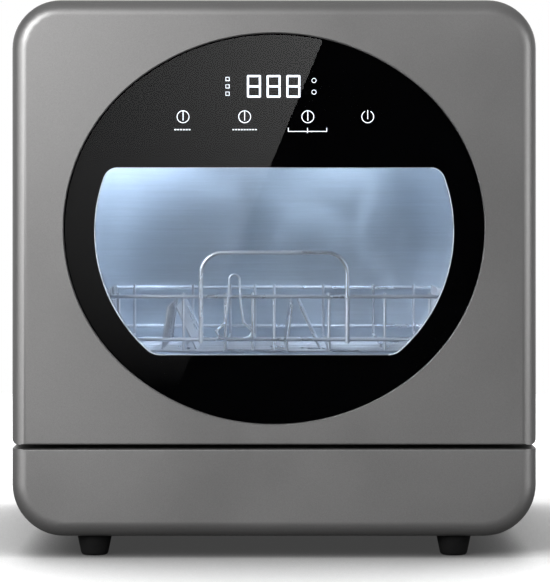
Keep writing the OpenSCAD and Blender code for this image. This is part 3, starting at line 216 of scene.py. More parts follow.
def cloud_group():
    """Broad soft patches where a surface is a little duller, as a mask from 0 to 1"""
    tree, given, result = group_tree(
        "Soft Patches", [("Vector", "Vector", None), ("Scale", "Float", 9.0)], [("Mask", "Float")]
    )
    broad = node(
        tree,
        "ShaderNodeTexNoise",
        {
            "Vector": given.outputs["Vector"],
            "Scale": given.outputs["Scale"],
            "Detail": 5.0,
            "Roughness": 0.55,
            "Distortion": 0.4,
        },
    )
    shaped = node(
        tree,
        "ShaderNodeMapRange",
        {"Value": broad.outputs["Fac"], "From Min": 0.32, "From Max": 0.68},
        interpolation_type="SMOOTHSTEP",
    )
    tree.links.new(shaped.outputs["Result"], result.inputs["Mask"])
    return tree


def brushed_group():
    """Fine lines drawn out along one way, as a mask from 0 to 1"""
    tree, given, result = group_tree(
        "Brushed Lines",
        [("Vector", "Vector", None), ("Stretch", "Vector", (20.0, 900.0, 900.0))],
        [("Mask", "Float")],
    )
    drawn = node(
        tree,
        "ShaderNodeVectorMath",
        {0: given.outputs["Vector"], 1: given.outputs["Stretch"]},
        operation="MULTIPLY",
    )
    lines = node(
        tree,
        "ShaderNodeTexNoise",
        {"Vector": drawn.outputs["Vector"], "Scale": 1.0, "Detail": 3.0, "Roughness": 0.7},
    )
    shaped = node(
        tree, "ShaderNodeMapRange", {"Value": lines.outputs["Fac"], "From Min": 0.3, "From Max": 0.7}
    )
    tree.links.new(shaped.outputs["Result"], result.inputs["Mask"])
    return tree


def tint_group():
    """A colour made a little darker and lighter by a mask"""
    tree, given, result = group_tree(
        "Tint By Mask",
        [("Color", "Color", (0.5, 0.5, 0.5, 1)), ("Mask", "Float", 0.5), ("Amount", "Float", 0.1)],
        [("Color", "Color")],
    )
    centred = math_node(tree, "SUBTRACT", given.outputs["Mask"], 0.5)
    scaled = math_node(tree, "MULTIPLY", centred, given.outputs["Amount"])
    lifted = math_node(tree, "ADD", scaled, 1.0)
    mixed = node(
        tree, "ShaderNodeVectorMath", {0: given.outputs["Color"], "Scale": lifted}, operation="SCALE"
    )
    tree.links.new(mixed.outputs["Vector"], result.inputs["Color"])
    return tree


GROUP_MAKERS = {
    "Fine Grain": grain_group,
    "Soft Patches": cloud_group,
    "Brushed Lines": brushed_group,
    "Tint By Mask": tint_group,
}


def effect(tree, name, inputs):
    """Places a shared effect group in a material."""
    group = bpy.data.node_groups.get(name) or GROUP_MAKERS[name]()
    made = tree.nodes.new("ShaderNodeGroup")
    made.node_tree = group
    for title, value in inputs.items():
        if isinstance(value, bpy.types.NodeSocket):
            tree.links.new(value, made.inputs[title])
        else:
            made.inputs[title].default_value = value
    return made.outputs[0]


def start_material(name, constants):
    """A material with its Principled node, plain constants set on the sockets, and Object coordinates."""
    made = bpy.data.materials.new(name)
    made.use_nodes = True
    tree = made.node_tree
    shader = tree.nodes["Principled BSDF"]
    for title, value in constants.items():
        shader.inputs[title].default_value = value
    place = tree.nodes.new("ShaderNodeTexCoord").outputs["Object"]
    return made, tree, shader, place


def spread(tree, mask, low, high):
    """Maps a mask onto a range of values."""
    return node(tree, "ShaderNodeMapRange", {"Value": mask, "To Min": low, "To Max": high}).outputs["Result"]


def bump(tree, height, distance, strength=1.0):
    return node(
        tree, "ShaderNodeBump", {"Height": height, "Distance": distance, "Strength": strength}
    ).outputs["Normal"]


def grained(
    name, colour, roughness, grain=900.0, tint=0.08, depth=0.02 * MM, dull=0.08, patches=9.0, **constants
):
    """A moulded, painted or cast surface: fine grain in its colour and relief, soft patches in its gloss."""
    made, tree, shader, place = start_material(name, constants)
    fine = effect(tree, "Fine Grain", {"Vector": place, "Scale": grain})
    cloudy = effect(tree, "Soft Patches", {"Vector": place, "Scale": patches})
    tinted = effect(tree, "Tint By Mask", {"Color": (*colour, 1), "Mask": fine, "Amount": tint})
    shaded = effect(tree, "Tint By Mask", {"Color": tinted, "Mask": cloudy, "Amount": tint * 0.6})
    tree.links.new(shaded, shader.inputs["Base Color"])
    gloss = spread(tree, cloudy, roughness - dull / 2, roughness + dull / 2)
    tree.links.new(gloss, shader.inputs["Roughness"])
    tree.links.new(bump(tree, fine, depth), shader.inputs["Normal"])
    return made


def brushed(name, colour, roughness, stretch, tint=0.12, depth=0.006 * MM, **constants):
    """A metal with drawn lines in its colour, gloss and relief."""
    made, tree, shader, place = start_material(name, {"Metallic": 1.0, **constants})
    lines = effect(tree, "Brushed Lines", {"Vector": place, "Stretch": stretch})
    cloudy = effect(tree, "Soft Patches", {"Vector": place, "Scale": 14.0})
    tinted = effect(tree, "Tint By Mask", {"Color": (*colour, 1), "Mask": lines, "Amount": tint})
    shaded = effect(tree, "Tint By Mask", {"Color": tinted, "Mask": cloudy, "Amount": tint * 0.5})
    tree.links.new(shaded, shader.inputs["Base Color"])
    tree.links.new(spread(tree, cloudy, roughness - 0.05, roughness + 0.07), shader.inputs["Roughness"])
    tree.links.new(bump(tree, lines, depth), shader.inputs["Normal"])
    return made


def body_paint():
    """Satin metallic paint: fine flakes, a faint skin of orange peel and a thin clear coat"""
    made, tree, shader, place = start_material(
        "Gunmetal Paint",
        {"Metallic": 0.85, "Coat Weight": 0.12, "Coat Roughness": 0.45, "Specular IOR Level": 0.4},
    )
    given = finish()
    flakes = effect(tree, "Fine Grain", {"Vector": place, "Scale": 2600.0})
    peel = effect(tree, "Fine Grain", {"Vector": place, "Scale": 420.0})
    cloudy = effect(tree, "Soft Patches", {"Vector": place, "Scale": 5.0})
    speckled = effect(tree, "Tint By Mask", {"Color": (*given.paint, 1), "Mask": flakes, "Amount": 0.20})
    shaded = effect(tree, "Tint By Mask", {"Color": speckled, "Mask": cloudy, "Amount": 0.05})
    tree.links.new(shaded, shader.inputs["Base Color"])
    rough = given.paint_roughness
    tree.links.new(spread(tree, cloudy, rough - 0.03, rough + 0.03), shader.inputs["Roughness"])
    tree.links.new(bump(tree, peel, 0.012 * MM), shader.inputs["Normal"])
    return made


def clear_glass(name, colour, smear):
    """Polished glass that lets lamps through, with a faint smear in its gloss"""
    made, tree, shader, place = start_material(
        name, {"Base Color": (*colour, 1), "Transmission Weight": 1.0, "IOR": 1.5}
    )
    cloudy = effect(tree, "Soft Patches", {"Vector": place, "Scale": 11.0})
    tree.links.new(spread(tree, cloudy, 0.0, smear), shader.inputs["Roughness"])
    shadow = tree.nodes.new("ShaderNodeLightPath").outputs["Is Shadow Ray"]
    lamp_share = 0.8
    let_through = math_node(tree, "MULTIPLY", shadow, lamp_share)
    tree.links.new(math_node(tree, "SUBTRACT", 1.0, let_through), shader.inputs["Alpha"])
    return made


def black_print_and_gap_shade():
    """Deep black ink behind the glass, with a hint of cloud in its gloss; the same black also colours the
    bevel of the door's glass as painted shade of the gap round it
    """
    made, tree, shader, place = start_material("Black Print And Painted Gap Shade", {"Specular IOR Level": 0.0})
    fine = effect(tree, "Fine Grain", {"Vector": place, "Scale": 1500.0})
    inked = effect(tree, "Tint By Mask", {"Color": (0.0004, 0.0004, 0.0005, 1), "Mask": fine, "Amount": 0.3})
    tree.links.new(inked, shader.inputs["Base Color"])
    cloudy = effect(tree, "Soft Patches", {"Vector": place, "Scale": 8.0})
    tree.links.new(spread(tree, cloudy, 0.35, 0.5), shader.inputs["Roughness"])
    return made


def lit_mark(name, strength, axis=None, edge=0.0, beyond=1.0):
    """A sign lit from behind, a little uneven; beyond the edge along an axis its strength is multiplied"""
    made, tree, shader, place = start_material(name, {"Roughness": 0.6, "Emission Strength": strength})
    colour = (*finish().marks, 1)
    fine = effect(tree, "Fine Grain", {"Vector": place, "Scale": 1400.0})
    lit = effect(tree, "Tint By Mask", {"Color": colour, "Mask": fine, "Amount": 0.12})
    if axis:
        parts = node(tree, "ShaderNodeSeparateXYZ", {"Vector": place})
        out = math_node(tree, "GREATER_THAN", math_node(tree, "ABSOLUTE", parts.outputs[axis]), edge)
        share = math_node(tree, "ADD", math_node(tree, "MULTIPLY", out, beyond - 1.0), 1.0)
        tree.links.new(math_node(tree, "MULTIPLY", share, strength), shader.inputs["Emission Strength"])
    tree.links.new(lit, shader.inputs["Emission Color"])
    tree.links.new(lit, shader.inputs["Base Color"])
    return made


def circuit_board():
    """Green board with darker traces"""
    made, tree, shader, place = start_material("Circuit Board", {"Specular IOR Level": 0.4})
    cells = node(
        tree,
        "ShaderNodeTexVoronoi",
        {"Vector": place, "Scale": 160.0, "Randomness": 0.35},
        distance="MANHATTAN",
        feature="F1",
    )
    traces = node(
        tree, "ShaderNodeMapRange", {"Value": cells.outputs["Distance"], "From Min": 0.42, "From Max": 0.5}
    ).outputs["Result"]
    green = (0.015, 0.11, 0.05, 1)
    colour = effect(tree, "Tint By Mask", {"Color": green, "Mask": traces, "Amount": 0.6})
    tree.links.new(colour, shader.inputs["Base Color"])
    tree.links.new(spread(tree, traces, 0.35, 0.5), shader.inputs["Roughness"])
    tree.links.new(bump(tree, traces, 0.05 * MM), shader.inputs["Normal"])
    return made


def filter_mesh():
    """Fine steel gauze: rows of small holes as relief, painted darker in the holes as shade"""
    made, tree, shader, place = start_material("Filter Gauze", {"Metallic": 0.9})
    cells = node(
        tree, "ShaderNodeTexVoronoi", {"Vector": place, "Scale": 620.0, "Randomness": 0.0}, feature="F1"
    )
    holes = node(
        tree, "ShaderNodeMapRange", {"Value": cells.outputs["Distance"], "From Min": 0.25, "From Max": 0.42}
    ).outputs["Result"]
    metal = (0.42, 0.43, 0.45, 1)
    # Painted shade: the holes are coloured darker, as shade seen in them; the wires between them are lighter.
    colour = effect(tree, "Tint By Mask", {"Color": metal, "Mask": holes, "Amount": 1.1})
    tree.links.new(colour, shader.inputs["Base Color"])
    tree.links.new(spread(tree, holes, 0.55, 0.3), shader.inputs["Roughness"])
    tree.links.new(bump(tree, holes, 0.3 * MM), shader.inputs["Normal"])
    return made


def make_materials():
    """Every finish of the object, by its record slot or its own name"""
    given = finish()
    across = (12.0, 700.0, 700.0)
    digits_side = 0.029  # beyond it stand the small signs beside the digits
    touch_top = 0.3545  # above it stand the rings, below it the labels
    return {
        "paint": body_paint(),
        "dark_glass": clear_glass("Door Glass", (0.93, 0.96, 1.0), 0.015),
        "clear_glass": clear_glass("Inner Glass", (0.90, 0.96, 1.0), 0.03),
        "mask": black_print_and_gap_shade(),
        "marks": lit_mark("Lit Digits", given.mark_strength, "X", digits_side, 0.30),
        "signs": lit_mark("Lit Signs", given.mark_strength * 0.3, "Z", touch_top, 1.6),
        "steel": brushed("Brushed Steel", given.steel, 0.34, across),
        "wire": brushed("Polished Wire", given.wire, 0.30, (60.0, 60.0, 60.0), tint=0.06),
        "zinc": brushed("Zinc Plate", (0.52, 0.53, 0.56), 0.36, (90.0, 90.0, 400.0)),
        "black_plastic": grained("Black Plastic", given.black, 0.46, grain=1100.0, depth=0.03 * MM),
        "grey_plastic": grained("Grey Plastic", given.grey, 0.40, grain=1300.0, depth=0.015 * MM),
        "white_plastic": grained("White Plastic", given.white, 0.36, grain=1300.0, tint=0.03),
        "rear_sheet": grained(
            "Grey Sheet", (0.20, 0.205, 0.21), 0.5, grain=500.0, tint=0.10, depth=0.03 * MM, Metallic=0.4
        ),
        "rubber": grained(
            "Black Rubber",
            given.rubber,
            0.7,
            grain=800.0,
            tint=0.2,
            depth=0.03 * MM,
            **{"Specular IOR Level": 0.1},
        ),
        "hose": grained("Grey Hose", (0.20, 0.21, 0.22), 0.5, grain=600.0, tint=0.1),
        "clear_hose": grained(
            "Milky Hose", (0.66, 0.69, 0.70), 0.35, grain=500.0, tint=0.05, **{"Subsurface Weight": 0.2}
        ),
        "board": circuit_board(),
        "gauze": filter_mesh(),
        "lens": lit_mark("Lamp Lens", 1.6),
        # Painted highlight: a pale strip standing in for the light caught by the cut edge of the window
        # opening.
        "edge_highlight": grained("Pale Painted Highlight", (0.62, 0.66, 0.70), 0.45, grain=1800.0, tint=0.04),
    }


NODE_FINISH = {"touch_symbols": "signs", "filter_cup": "gauze", "filter_plate": "gauze", "tub_lamp": "lens"}
PAINTED = {"door_frame", "base_housing", "outer_shell"}
FINISHES = {}


class DISHWASHER_OT_finishes(bpy.types.Operator):
    """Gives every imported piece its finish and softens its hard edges"""

    bl_idname = "dishwasher.finishes"
    bl_label = "Finishes"

    def execute(self, context):
        FINISHES.update(make_materials())
        slots = {row["node"]: row["material_slot"] for row in frame["record"]["subparts"]}
        for name, piece in frame["nodes"].items():
            material = FINISHES[NODE_FINISH.get(name, slots[name])]
            piece.data.materials.clear()
            piece.data.materials.append(material)
            soften(piece, sizes().paint_edge if name in PAINTED else sizes().edge)
        return {"FINISHED"}


SHARP = {"display_digits", "touch_symbols", "glass_mask", "rack_clip"}


def soften(piece, width):
    """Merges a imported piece's loose triangles and rounds its hard edges, as live modifiers."""
    hard = math.radians(35)
    for polygon in piece.data.polygons:
        polygon.use_smooth = True
    weld = piece.modifiers.new("Merge", "WELD")
    weld.merge_threshold = MERGE
    if piece.name not in SHARP:
        bevel = piece.modifiers.new("Soft Edges", "BEVEL")
        bevel.width = width
        bevel.segments = 2
        bevel.limit_method = "ANGLE"
        bevel.angle_limit = hard
        bevel.use_clamp_overlap = True
        bevel.harden_normals = False
    even = piece.modifiers.new("Even Shading", "WEIGHTED_NORMAL")
    even.keep_sharp = False
    even.weight = 60


# Modelling, as by hand


def start_piece(name, primitive, **settings):
    """Adds a primitive with nothing else selected."""
    bpy.ops.object.select_all(action="DESELECT")
    primitive(**settings)
    piece = bpy.context.object
    piece.name = piece.data.name = name
    return piece


def own(name, mesh):
    """A new object for a mesh, made the only selected one"""
    piece = bpy.data.objects.new(name, mesh)
    mesh.name = name
    bpy.context.scene.collection.objects.link(piece)
    alone(piece)
    return piece


def alone(piece):
    bpy.ops.object.select_all(action="DESELECT")
    piece.select_set(True)
    bpy.context.view_layer.objects.active = piece


def edit(piece):
    alone(piece)
    bpy.ops.object.mode_set(mode="EDIT")
    bpy.ops.mesh.select_all(action="SELECT")


def leave():
    bpy.ops.object.mode_set(mode="OBJECT")


def pick(piece, kind, test):
    """In edit mode, selects the vertices, edges or faces that pass a test and nothing else."""
    bpy.ops.mesh.select_mode(type=kind)
    bpy.ops.mesh.select_all(action="DESELECT")
    mesh = bmesh.from_edit_mesh(piece.data)
    items = {"VERT": mesh.verts, "EDGE": mesh.edges, "FACE": mesh.faces}[kind]
    for item in items:
        if test(item):
            item.select_set(True)
    mesh.select_flush_mode()
    bmesh.update_edit_mesh(piece.data)


def raise_faces(step, grow=(1, 1, 1), centre=(0, 0, 0)):
    """Extrudes the selected faces by a step and then resizes them about a centre."""
    bpy.ops.mesh.extrude_region_move(TRANSFORM_OT_translate={"value": step})
    bpy.ops.transform.resize(value=grow, center_override=centre)


def apply_modifier(piece, kind, **settings):
    alone(piece)
    made = piece.modifiers.new(kind.title(), kind)
    for name, value in settings.items():
        setattr(made, name, value)
    bpy.ops.object.modifier_apply(modifier=made.name)


def settle(piece, body, slot, finish_name=None, smooth=35):
    """Puts the piece's place into its mesh, smooths it and gives it its finish and its body."""
    alone(piece)
    bpy.ops.object.transform_apply(location=True, rotation=True, scale=True)
    bpy.ops.object.shade_smooth_by_angle(angle=math.radians(smooth))
    piece.data.materials.clear()
    piece.data.materials.append(FINISHES[finish_name or slot])
    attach(piece, body)
    return piece


def turned(name, profile, steps=48):
    """Spins a profile of radius and height points, from its first to its last, round the upright axis."""
    radius, height = profile[0]
    piece = start_piece(name, bpy.ops.mesh.primitive_plane_add, size=MM, location=(radius, 0, height))
    edit(piece)
    bpy.ops.mesh.select_mode(type="VERT")  # a lone point can't be extruded in the other modes
    bpy.ops.mesh.select_all(action="SELECT")
    bpy.ops.mesh.merge(type="CENTER")
    for (r0, z0), (r1, z1) in zip(profile, profile[1:]):
        bpy.ops.mesh.extrude_region_move(TRANSFORM_OT_translate={"value": (r1 - r0, 0, z1 - z0)})
    bpy.ops.mesh.select_all(action="SELECT")
    bpy.ops.mesh.spin(steps=steps, angle=2 * math.pi, center=(0, 0, 0), axis=(0, 0, 1))
    bpy.ops.mesh.select_all(action="SELECT")
    bpy.ops.mesh.remove_doubles(threshold=MERGE)
    bpy.ops.mesh.normals_make_consistent(inside=False)
    leave()
    alone(piece)
    bpy.ops.object.transform_apply(location=True, rotation=True, scale=True)
    return piece


def copies(piece, places, name):
    """Copies a finished shape to each place, turned by its angles, joins the copies and drops the first."""
    made = []
    for spot, turn in places:
        twin = own(name, piece.data.copy())
        twin.location = spot
        twin.rotation_euler = turn
        made.append(twin)
    bpy.data.objects.remove(piece)
    alone(made[0])
    for twin in made:
        twin.select_set(True)
    bpy.ops.object.join()
    joined = bpy.context.object
    joined.name = joined.data.name = name
    return joined


def islands(node_name):
    """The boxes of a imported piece's separate solids"""
    mesh = bmesh.new()
    mesh.from_mesh(frame["nodes"][node_name].data)
    bmesh.ops.remove_doubles(mesh, verts=mesh.verts, dist=MERGE)
    left = set(mesh.verts)
    boxes = []
    while left:
        wave = [left.pop()]
        group = []
        while wave:
            vert = wave.pop()
            group.append(vert.co.copy())
            for edge in vert.link_edges:
                other = edge.other_vert(vert)
                if other in left:
                    left.remove(other)
                    wave.append(other)
        low = Vector(min(point[i] for point in group) for i in range(3))
        high = Vector(max(point[i] for point in group) for i in range(3))
        boxes.append((low, high))
    mesh.free()
    return sorted(boxes, key=lambda box: tuple(round(value, 5) for value in box[0]))


class DISHWASHER_OT_feet(bpy.types.Operator):
    """Turns the four rubber feet, with a rounded sole and a hollow for the screw"""

    bl_idname = "dishwasher.feet"
    bl_label = "Feet"

    def execute(self, context):
        soles = islands("feet")
        top = soles[0][1].z
        wide = (soles[0][1].x - soles[0][0].x) / 2
        hollow = [(0, 4.0), (3.6, 4.0), (4.0, 3.6), (4.2, 0.6), (4.8, 0)]
        sole = [(8.9, 0), (9.9, 0.25), (10.7, 0.9), (11.2, 1.9), (11.55, 3.2)]
        profile = [(r * MM, z * MM) for r, z in hollow + sole]
        rim = [(-0.1, -0.8), (0, -0.3), (-0.2, 0)]
        profile += [(wide + r * MM, top + z * MM) for r, z in rim]
        profile.append((0, top))
        foot = turned("Rubber Feet", profile, 64)
        places = [((low + high) / 2 * Vector((1, 1, 0)), (0, 0, 0)) for low, high in soles]
        feet = settle(copies(foot, places, "Rubber_Feet"), "cabinet", "rubber", smooth=40)
        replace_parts(feet, "feet")
        return {"FINISHED"}


def screw(name, radius, height, shank):
    """A domed screw with a cross recess, its head's seat at height 0 and its shank below"""
    tip, rod, seat = 1.5 * MM, 1.95 * MM, 0.02 * MM
    profile = [
        (0, -shank),
        (tip, -shank),
        (rod, -shank + 0.6 * MM),
        (rod, seat),
        (radius * 0.97, seat),
        (radius, 0.25 * MM),
        (radius * 0.97, height * 0.5),
        (radius * 0.82, height * 0.84),
        (radius * 0.5, height * 0.98),
        (0, height),
    ]
    piece = turned(name, profile, 28)
    long, thin, deep = radius * 1.25, radius * 0.26, height * 1.3
    arms = []
    for width, depth in ((long, thin), (thin, long)):
        arm = start_piece("Cross", bpy.ops.mesh.primitive_cube_add, size=1, location=(0, 0, height))
        arm.scale = (width, depth, deep)
        bpy.ops.object.transform_apply(location=True, rotation=True, scale=True)
        arms.append(arm)
    for arm in arms:
        apply_modifier(piece, "BOOLEAN", operation="DIFFERENCE", object=arm, solver="EXACT")
    for arm in arms:
        bpy.data.objects.remove(arm)
    return piece


def screw_places(node_name, head):
    """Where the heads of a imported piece's screws sit: their seats and turns, by the way that each points"""
    upright, backward = [], []
    for number, (low, high) in enumerate(islands(node_name)):
        span = high - low
        middle = (low + high) / 2
        twist = 0.37 * number
        if abs(span.x - span.y) < abs(span.x - span.z):
            upright.append(((middle.x, middle.y, high.z - head), (0, 0, twist)))
        else:
            backward.append(((middle.x, high.y - head, middle.z), (-math.pi / 2, twist, 0)))
    return upright, backward


class DISHWASHER_OT_screws(bpy.types.Operator):
    """Models the screws of the cabinet and of the door's liner"""

    bl_idname = "dishwasher.screws"
    bl_label = "Screws"

    def execute(self, context):
        foot_head, panel_head, liner_head = 2.55 * MM, 2.15 * MM, 1.35 * MM
        upright, _ = screw_places("cabinet_screws", foot_head)
        _, backward = screw_places("cabinet_screws", panel_head)
        rows = [
            ("Foot_Screws", 4 * MM, foot_head, 3.1 * MM, upright, "cabinet", "cabinet_screws"),
            ("Panel_Screws", 3.4 * MM, panel_head, 6.5 * MM, backward, "cabinet", "cabinet_screws"),
        ]
        _, backward = screw_places("liner_screws", liner_head)
        rows.append(("Liner_Screws", 4 * MM, liner_head, 8.5 * MM, backward, "door", "liner_screws"))
        for name, radius, head, shank, places, body, stands_for in rows:
            joined = copies(screw(name, radius, head, shank), places, name)
            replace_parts(settle(joined, body, "zinc", smooth=40), stands_for)
        return {"FINISHED"}


class DISHWASHER_OT_painted_window_highlight(bpy.types.Operator):
    """Makes the pale line round the window, a painted highlight of the opening's cut edge, from the wall of
    the opening in the black print
    """

    bl_idname = "dishwasher.window_trim"
    bl_label = "Painted window highlight"

    def execute(self, context):
        piece = own("Painted_Window_Highlight", frame["nodes"]["glass_mask"].data.copy())
        edit(piece)
        bpy.ops.mesh.remove_doubles(threshold=MERGE)
        middle = Vector((0, 0, 0.245))  # of the window

        def outside(face):
            flat = abs(face.normal.y) > 0.5
            return flat or face.normal.dot(face.calc_center_median() - middle) > 0

        pick(piece, "FACE", outside)
        bpy.ops.mesh.delete(type="FACE")
        leave()
        apply_modifier(piece, "SOLIDIFY", thickness=sizes().edge_highlight, offset=1.0, use_even_offset=True)
        settle(piece, "door", "marks", "edge_highlight")
        return {"FINISHED"}


class DISHWASHER_OT_glass(bpy.types.Operator):
    """Cuts the door's glass with a wide bevel round its front and colours that bevel black, as painted shade
    standing in for the dark gap round the glass
    """

    bl_idname = "dishwasher.glass"
    bl_label = "Glass"

    def execute(self, context):
        piece = own("Bevelled_Glass", frame["nodes"]["door_glass"].data.copy())
        bpy.ops.mesh.customdata_custom_splitnormals_clear()
        edit(piece)
        bpy.ops.mesh.remove_doubles(threshold=MERGE)
        flat, close = math.radians(0.2), 0.01 * MM
        bpy.ops.mesh.dissolve_limited(angle_limit=flat)
        front = min(vertex.co.y for vertex in bmesh.from_edit_mesh(piece.data).verts) + close
        pick(piece, "EDGE", lambda edge: all(vertex.co.y < front for vertex in edge.verts))
        bpy.ops.mesh.bevel(offset=sizes().painted_gap_shade, segments=2, clamp_overlap=True)
        leave()
        settle(piece, "door", "dark_glass", smooth=12)
        # Painted shade: the bevel takes the black print, standing in for the dark gap round the glass.
        piece.data.materials.append(FINISHES["mask"])
        sideways, forward = 0.02, 0.98  # the bevel's faces turn to neither
        for polygon in piece.data.polygons:
            polygon.material_index = int(sideways < -polygon.normal.y < forward)
        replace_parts(piece, "door_glass")
        return {"FINISHED"}


def pressing(name, width, height, corner, proud):
    """A raised panel pressed into sheet metal: rounded corners, sloping sides and a soft top edge"""
    piece = start_piece(name, bpy.ops.mesh.primitive_plane_add, size=1, location=(0, 0, 0))
    piece.scale = (width, height, 1)
    bpy.ops.object.transform_apply(location=True, rotation=True, scale=True)
    edit(piece)
    bpy.ops.mesh.bevel(offset=corner, segments=7, affect="VERTICES", clamp_overlap=False)
    bpy.ops.mesh.select_all(action="SELECT")
    bpy.ops.mesh.remove_doubles(threshold=MERGE)
    draft = 2 * proud
    raise_faces((0, 0, proud), (1 - 2 * draft / width, 1 - 2 * draft / height, 1))
    soft = proud * 0.9
    pick(piece, "EDGE", lambda edge: all(vert.co.z > soft for vert in edge.verts))
    bpy.ops.mesh.bevel(offset=soft, segments=3, affect="EDGES")
    bpy.ops.mesh.select_all(action="SELECT")
    bpy.ops.mesh.normals_make_consistent(inside=False)
    leave()
    return piece


LEFT_WALL = (math.pi / 2, 0, math.pi / 2)
RIGHT_WALL = (math.pi / 2, 0, -math.pi / 2)
BACK_WALL = (math.pi / 2, 0, 0)
BACKWARD = (math.pi / 2, 0, math.pi)


class DISHWASHER_OT_pressings(bpy.types.Operator):
    """Presses beads into the walls of the tub, the door's liner and the rear panel"""

    bl_idname = "dishwasher.pressings"
    bl_label = "Pressings"

    def execute(self, context):
        proud = sizes().bead
        self.tub(proud)
        self.liner(proud)
        self.rear(proud)
        return {"FINISHED"}

    def tub(self, proud):
        low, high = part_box("tub")
        wall = 2 * MM
        side = high.x - wall
        middle = (low.y + high.y) / 2
        long = pressing("Side Bead", width=0.215, height=11 * MM, corner=5.4 * MM, proud=proud)
        spots = []
        for height in (0.235, 0.285, 0.335):
            spots.append(((-side, middle, height), LEFT_WALL))
            spots.append(((side, middle, height), RIGHT_WALL))
        settle(copies(long, spots, "Tub_Side_Beads"), "cabinet", "steel")
        across = pressing("Back Bead", width=0.26, height=13 * MM, corner=6.4 * MM, proud=proud)
        spots = [((0, high.y - wall, height), BACK_WALL) for height in (0.345, 0.372)]
        settle(copies(across, spots, "Tub_Back_Beads"), "cabinet", "steel")

    def liner(self, proud):
        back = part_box("door_liner")[1].y
        upright = pressing("Liner Bead", width=9 * MM, height=0.20, corner=4.4 * MM, proud=proud * 0.7)
        out, up = 0.1775, 0.245
        spots = [((side * out, back, up), BACKWARD) for side in (-1, 1)]
        settle(copies(upright, spots, "Liner_Beads"), "door", "steel")

    def rear(self, proud):
        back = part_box("rear_panel")[1].y
        field = pressing("Rear_Field", width=0.34, height=0.26, corner=16 * MM, proud=proud)
        field_up, plate_out, plate_up = 0.255, 0.09, 0.18
        field.location = (0, back, field_up)
        field.rotation_euler = BACKWARD
        settle(field, "cabinet", "rear_sheet")
        plate = pressing("Rating_Plate", width=0.078, height=0.046, corner=3 * MM, proud=0.35 * MM)
        plate.location = (plate_out, back + proud, plate_up)
        plate.rotation_euler = BACKWARD
        settle(plate, "cabinet", "zinc")


class DISHWASHER_OT_jets(bpy.types.Operator):
    """Raised rims round the jets of the two spray arms"""

    bl_idname = "dishwasher.jets"
    bl_label = "Jets"

    def execute(self, context):
        bore, edge, deep = 1.45, 3.3, -0.2
        profile = [(bore, 0), (bore, 0.9), (1.75, 1.1), (2.5, 1.0), (edge, 0.15), (edge, deep), (bore, deep)]
        profile.append(profile[0])
        aside = 7.5 * MM
        for body, up in (("lower_arm", True), ("upper_arm", False)):
            low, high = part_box(body.replace("arm", "spray_arm"))
            reach = (high.x - low.x) / 2
            middle_y = (low.y + high.y) / 2
            face = high.z if up else low.z
            rim = turned("Jet Rim", [(r * MM, z * MM) for r, z in profile], 20)
            turn = (0, 0, 0) if up else (math.pi, 0, 0)
            spots = [
                ((side * step * reach / 6, middle_y + side * aside, face), turn)
                for side in (-1, 1)
                for step in (2, 3, 4, 5)
            ]
            settle(copies(rim, spots, f"{body}_jets"), body, "grey_plastic")
        return {"FINISHED"}


class DISHWASHER_OT_welds(bpy.types.Operator):
    """Small weld spots where the rack's upright wires meet its two rims"""

    bl_idname = "dishwasher.welds"
    bl_label = "Welds"

    def execute(self, context):
        rims = islands("rack_rims")
        heights = [(low.z + high.z) / 2 for low, high in rims]
        outer = rims[0]
        radius = (outer[1].z - outer[0].z) / 2
        spots = []
        for low, high in islands("rack_uprights"):
            x, y = (low.x + high.x) / 2, (low.y + high.y) / 2
            gaps = [
                (abs(outer[0].x + radius - x), (-1, 0)),
                (abs(outer[1].x - radius - x), (1, 0)),
                (abs(outer[0].y + radius - y), (0, -1)),
                (abs(outer[1].y - radius - y), (0, 1)),
            ]
            _, (to_x, to_y) = min(gaps)
            out = (high.x - low.x) / 2
            spots += [((x + to_x * out, y + to_y * out, z), (0, 0, 0)) for z in heights]
        ball = bpy.ops.mesh.primitive_ico_sphere_add
        bead = start_piece("Weld Spot", ball, subdivisions=2, radius=sizes().weld, location=(0, 0, 0))
        edit(bead)
        drawn_out = 1.35
        bpy.ops.transform.resize(value=(1.0, 1.0, drawn_out))
        leave()
        settle(copies(bead, spots, "Rack_Welds"), "rack", "wire", smooth=60)
        return {"FINISHED"}


# Stage


def floor_material():
    """White floor: pale to the lamps and a full white to the camera, darkened for the camera near the body by
    ambient occlusion as painted shade, so that shadows and this painted shade show
    """
    made, tree, shader, place = start_material(
        "White Floor", {"Roughness": 0.7, "Specular IOR Level": 0.2, "Emission Color": (1, 1, 1, 1)}
    )
    fine = effect(tree, "Fine Grain", {"Vector": place, "Scale": 60.0})
    seen = tree.nodes.new("ShaderNodeLightPath").outputs["Is Camera Ray"]
    # Painted shade: ambient occlusion near the body darkens the floor's colour for the camera, like a contact
    # shadow.
    painted_shade_ao = node(tree, "ShaderNodeAmbientOcclusion", {"Distance": 0.45}, samples=16).outputs["AO"]
    contrast, lift, bounce, glow = 1.8, 1.25, 0.12, 0.05
    shaded = math_node(tree, "MULTIPLY", math_node(tree, "POWER", painted_shade_ao, contrast), lift)
    level = node(tree, "ShaderNodeMix", {"Factor": seen, "A": bounce, "B": shaded}).outputs[0]
    tree.links.new(math_node(tree, "MULTIPLY", seen, glow), shader.inputs["Emission Strength"])
    white = node(tree, "ShaderNodeCombineColor", {"Red": level, "Green": level, "Blue": level})
    colour = effect(tree, "Tint By Mask", {"Color": white.outputs["Color"], "Mask": fine, "Amount": 0.01})
    tree.links.new(colour, shader.inputs["Base Color"])
    return made


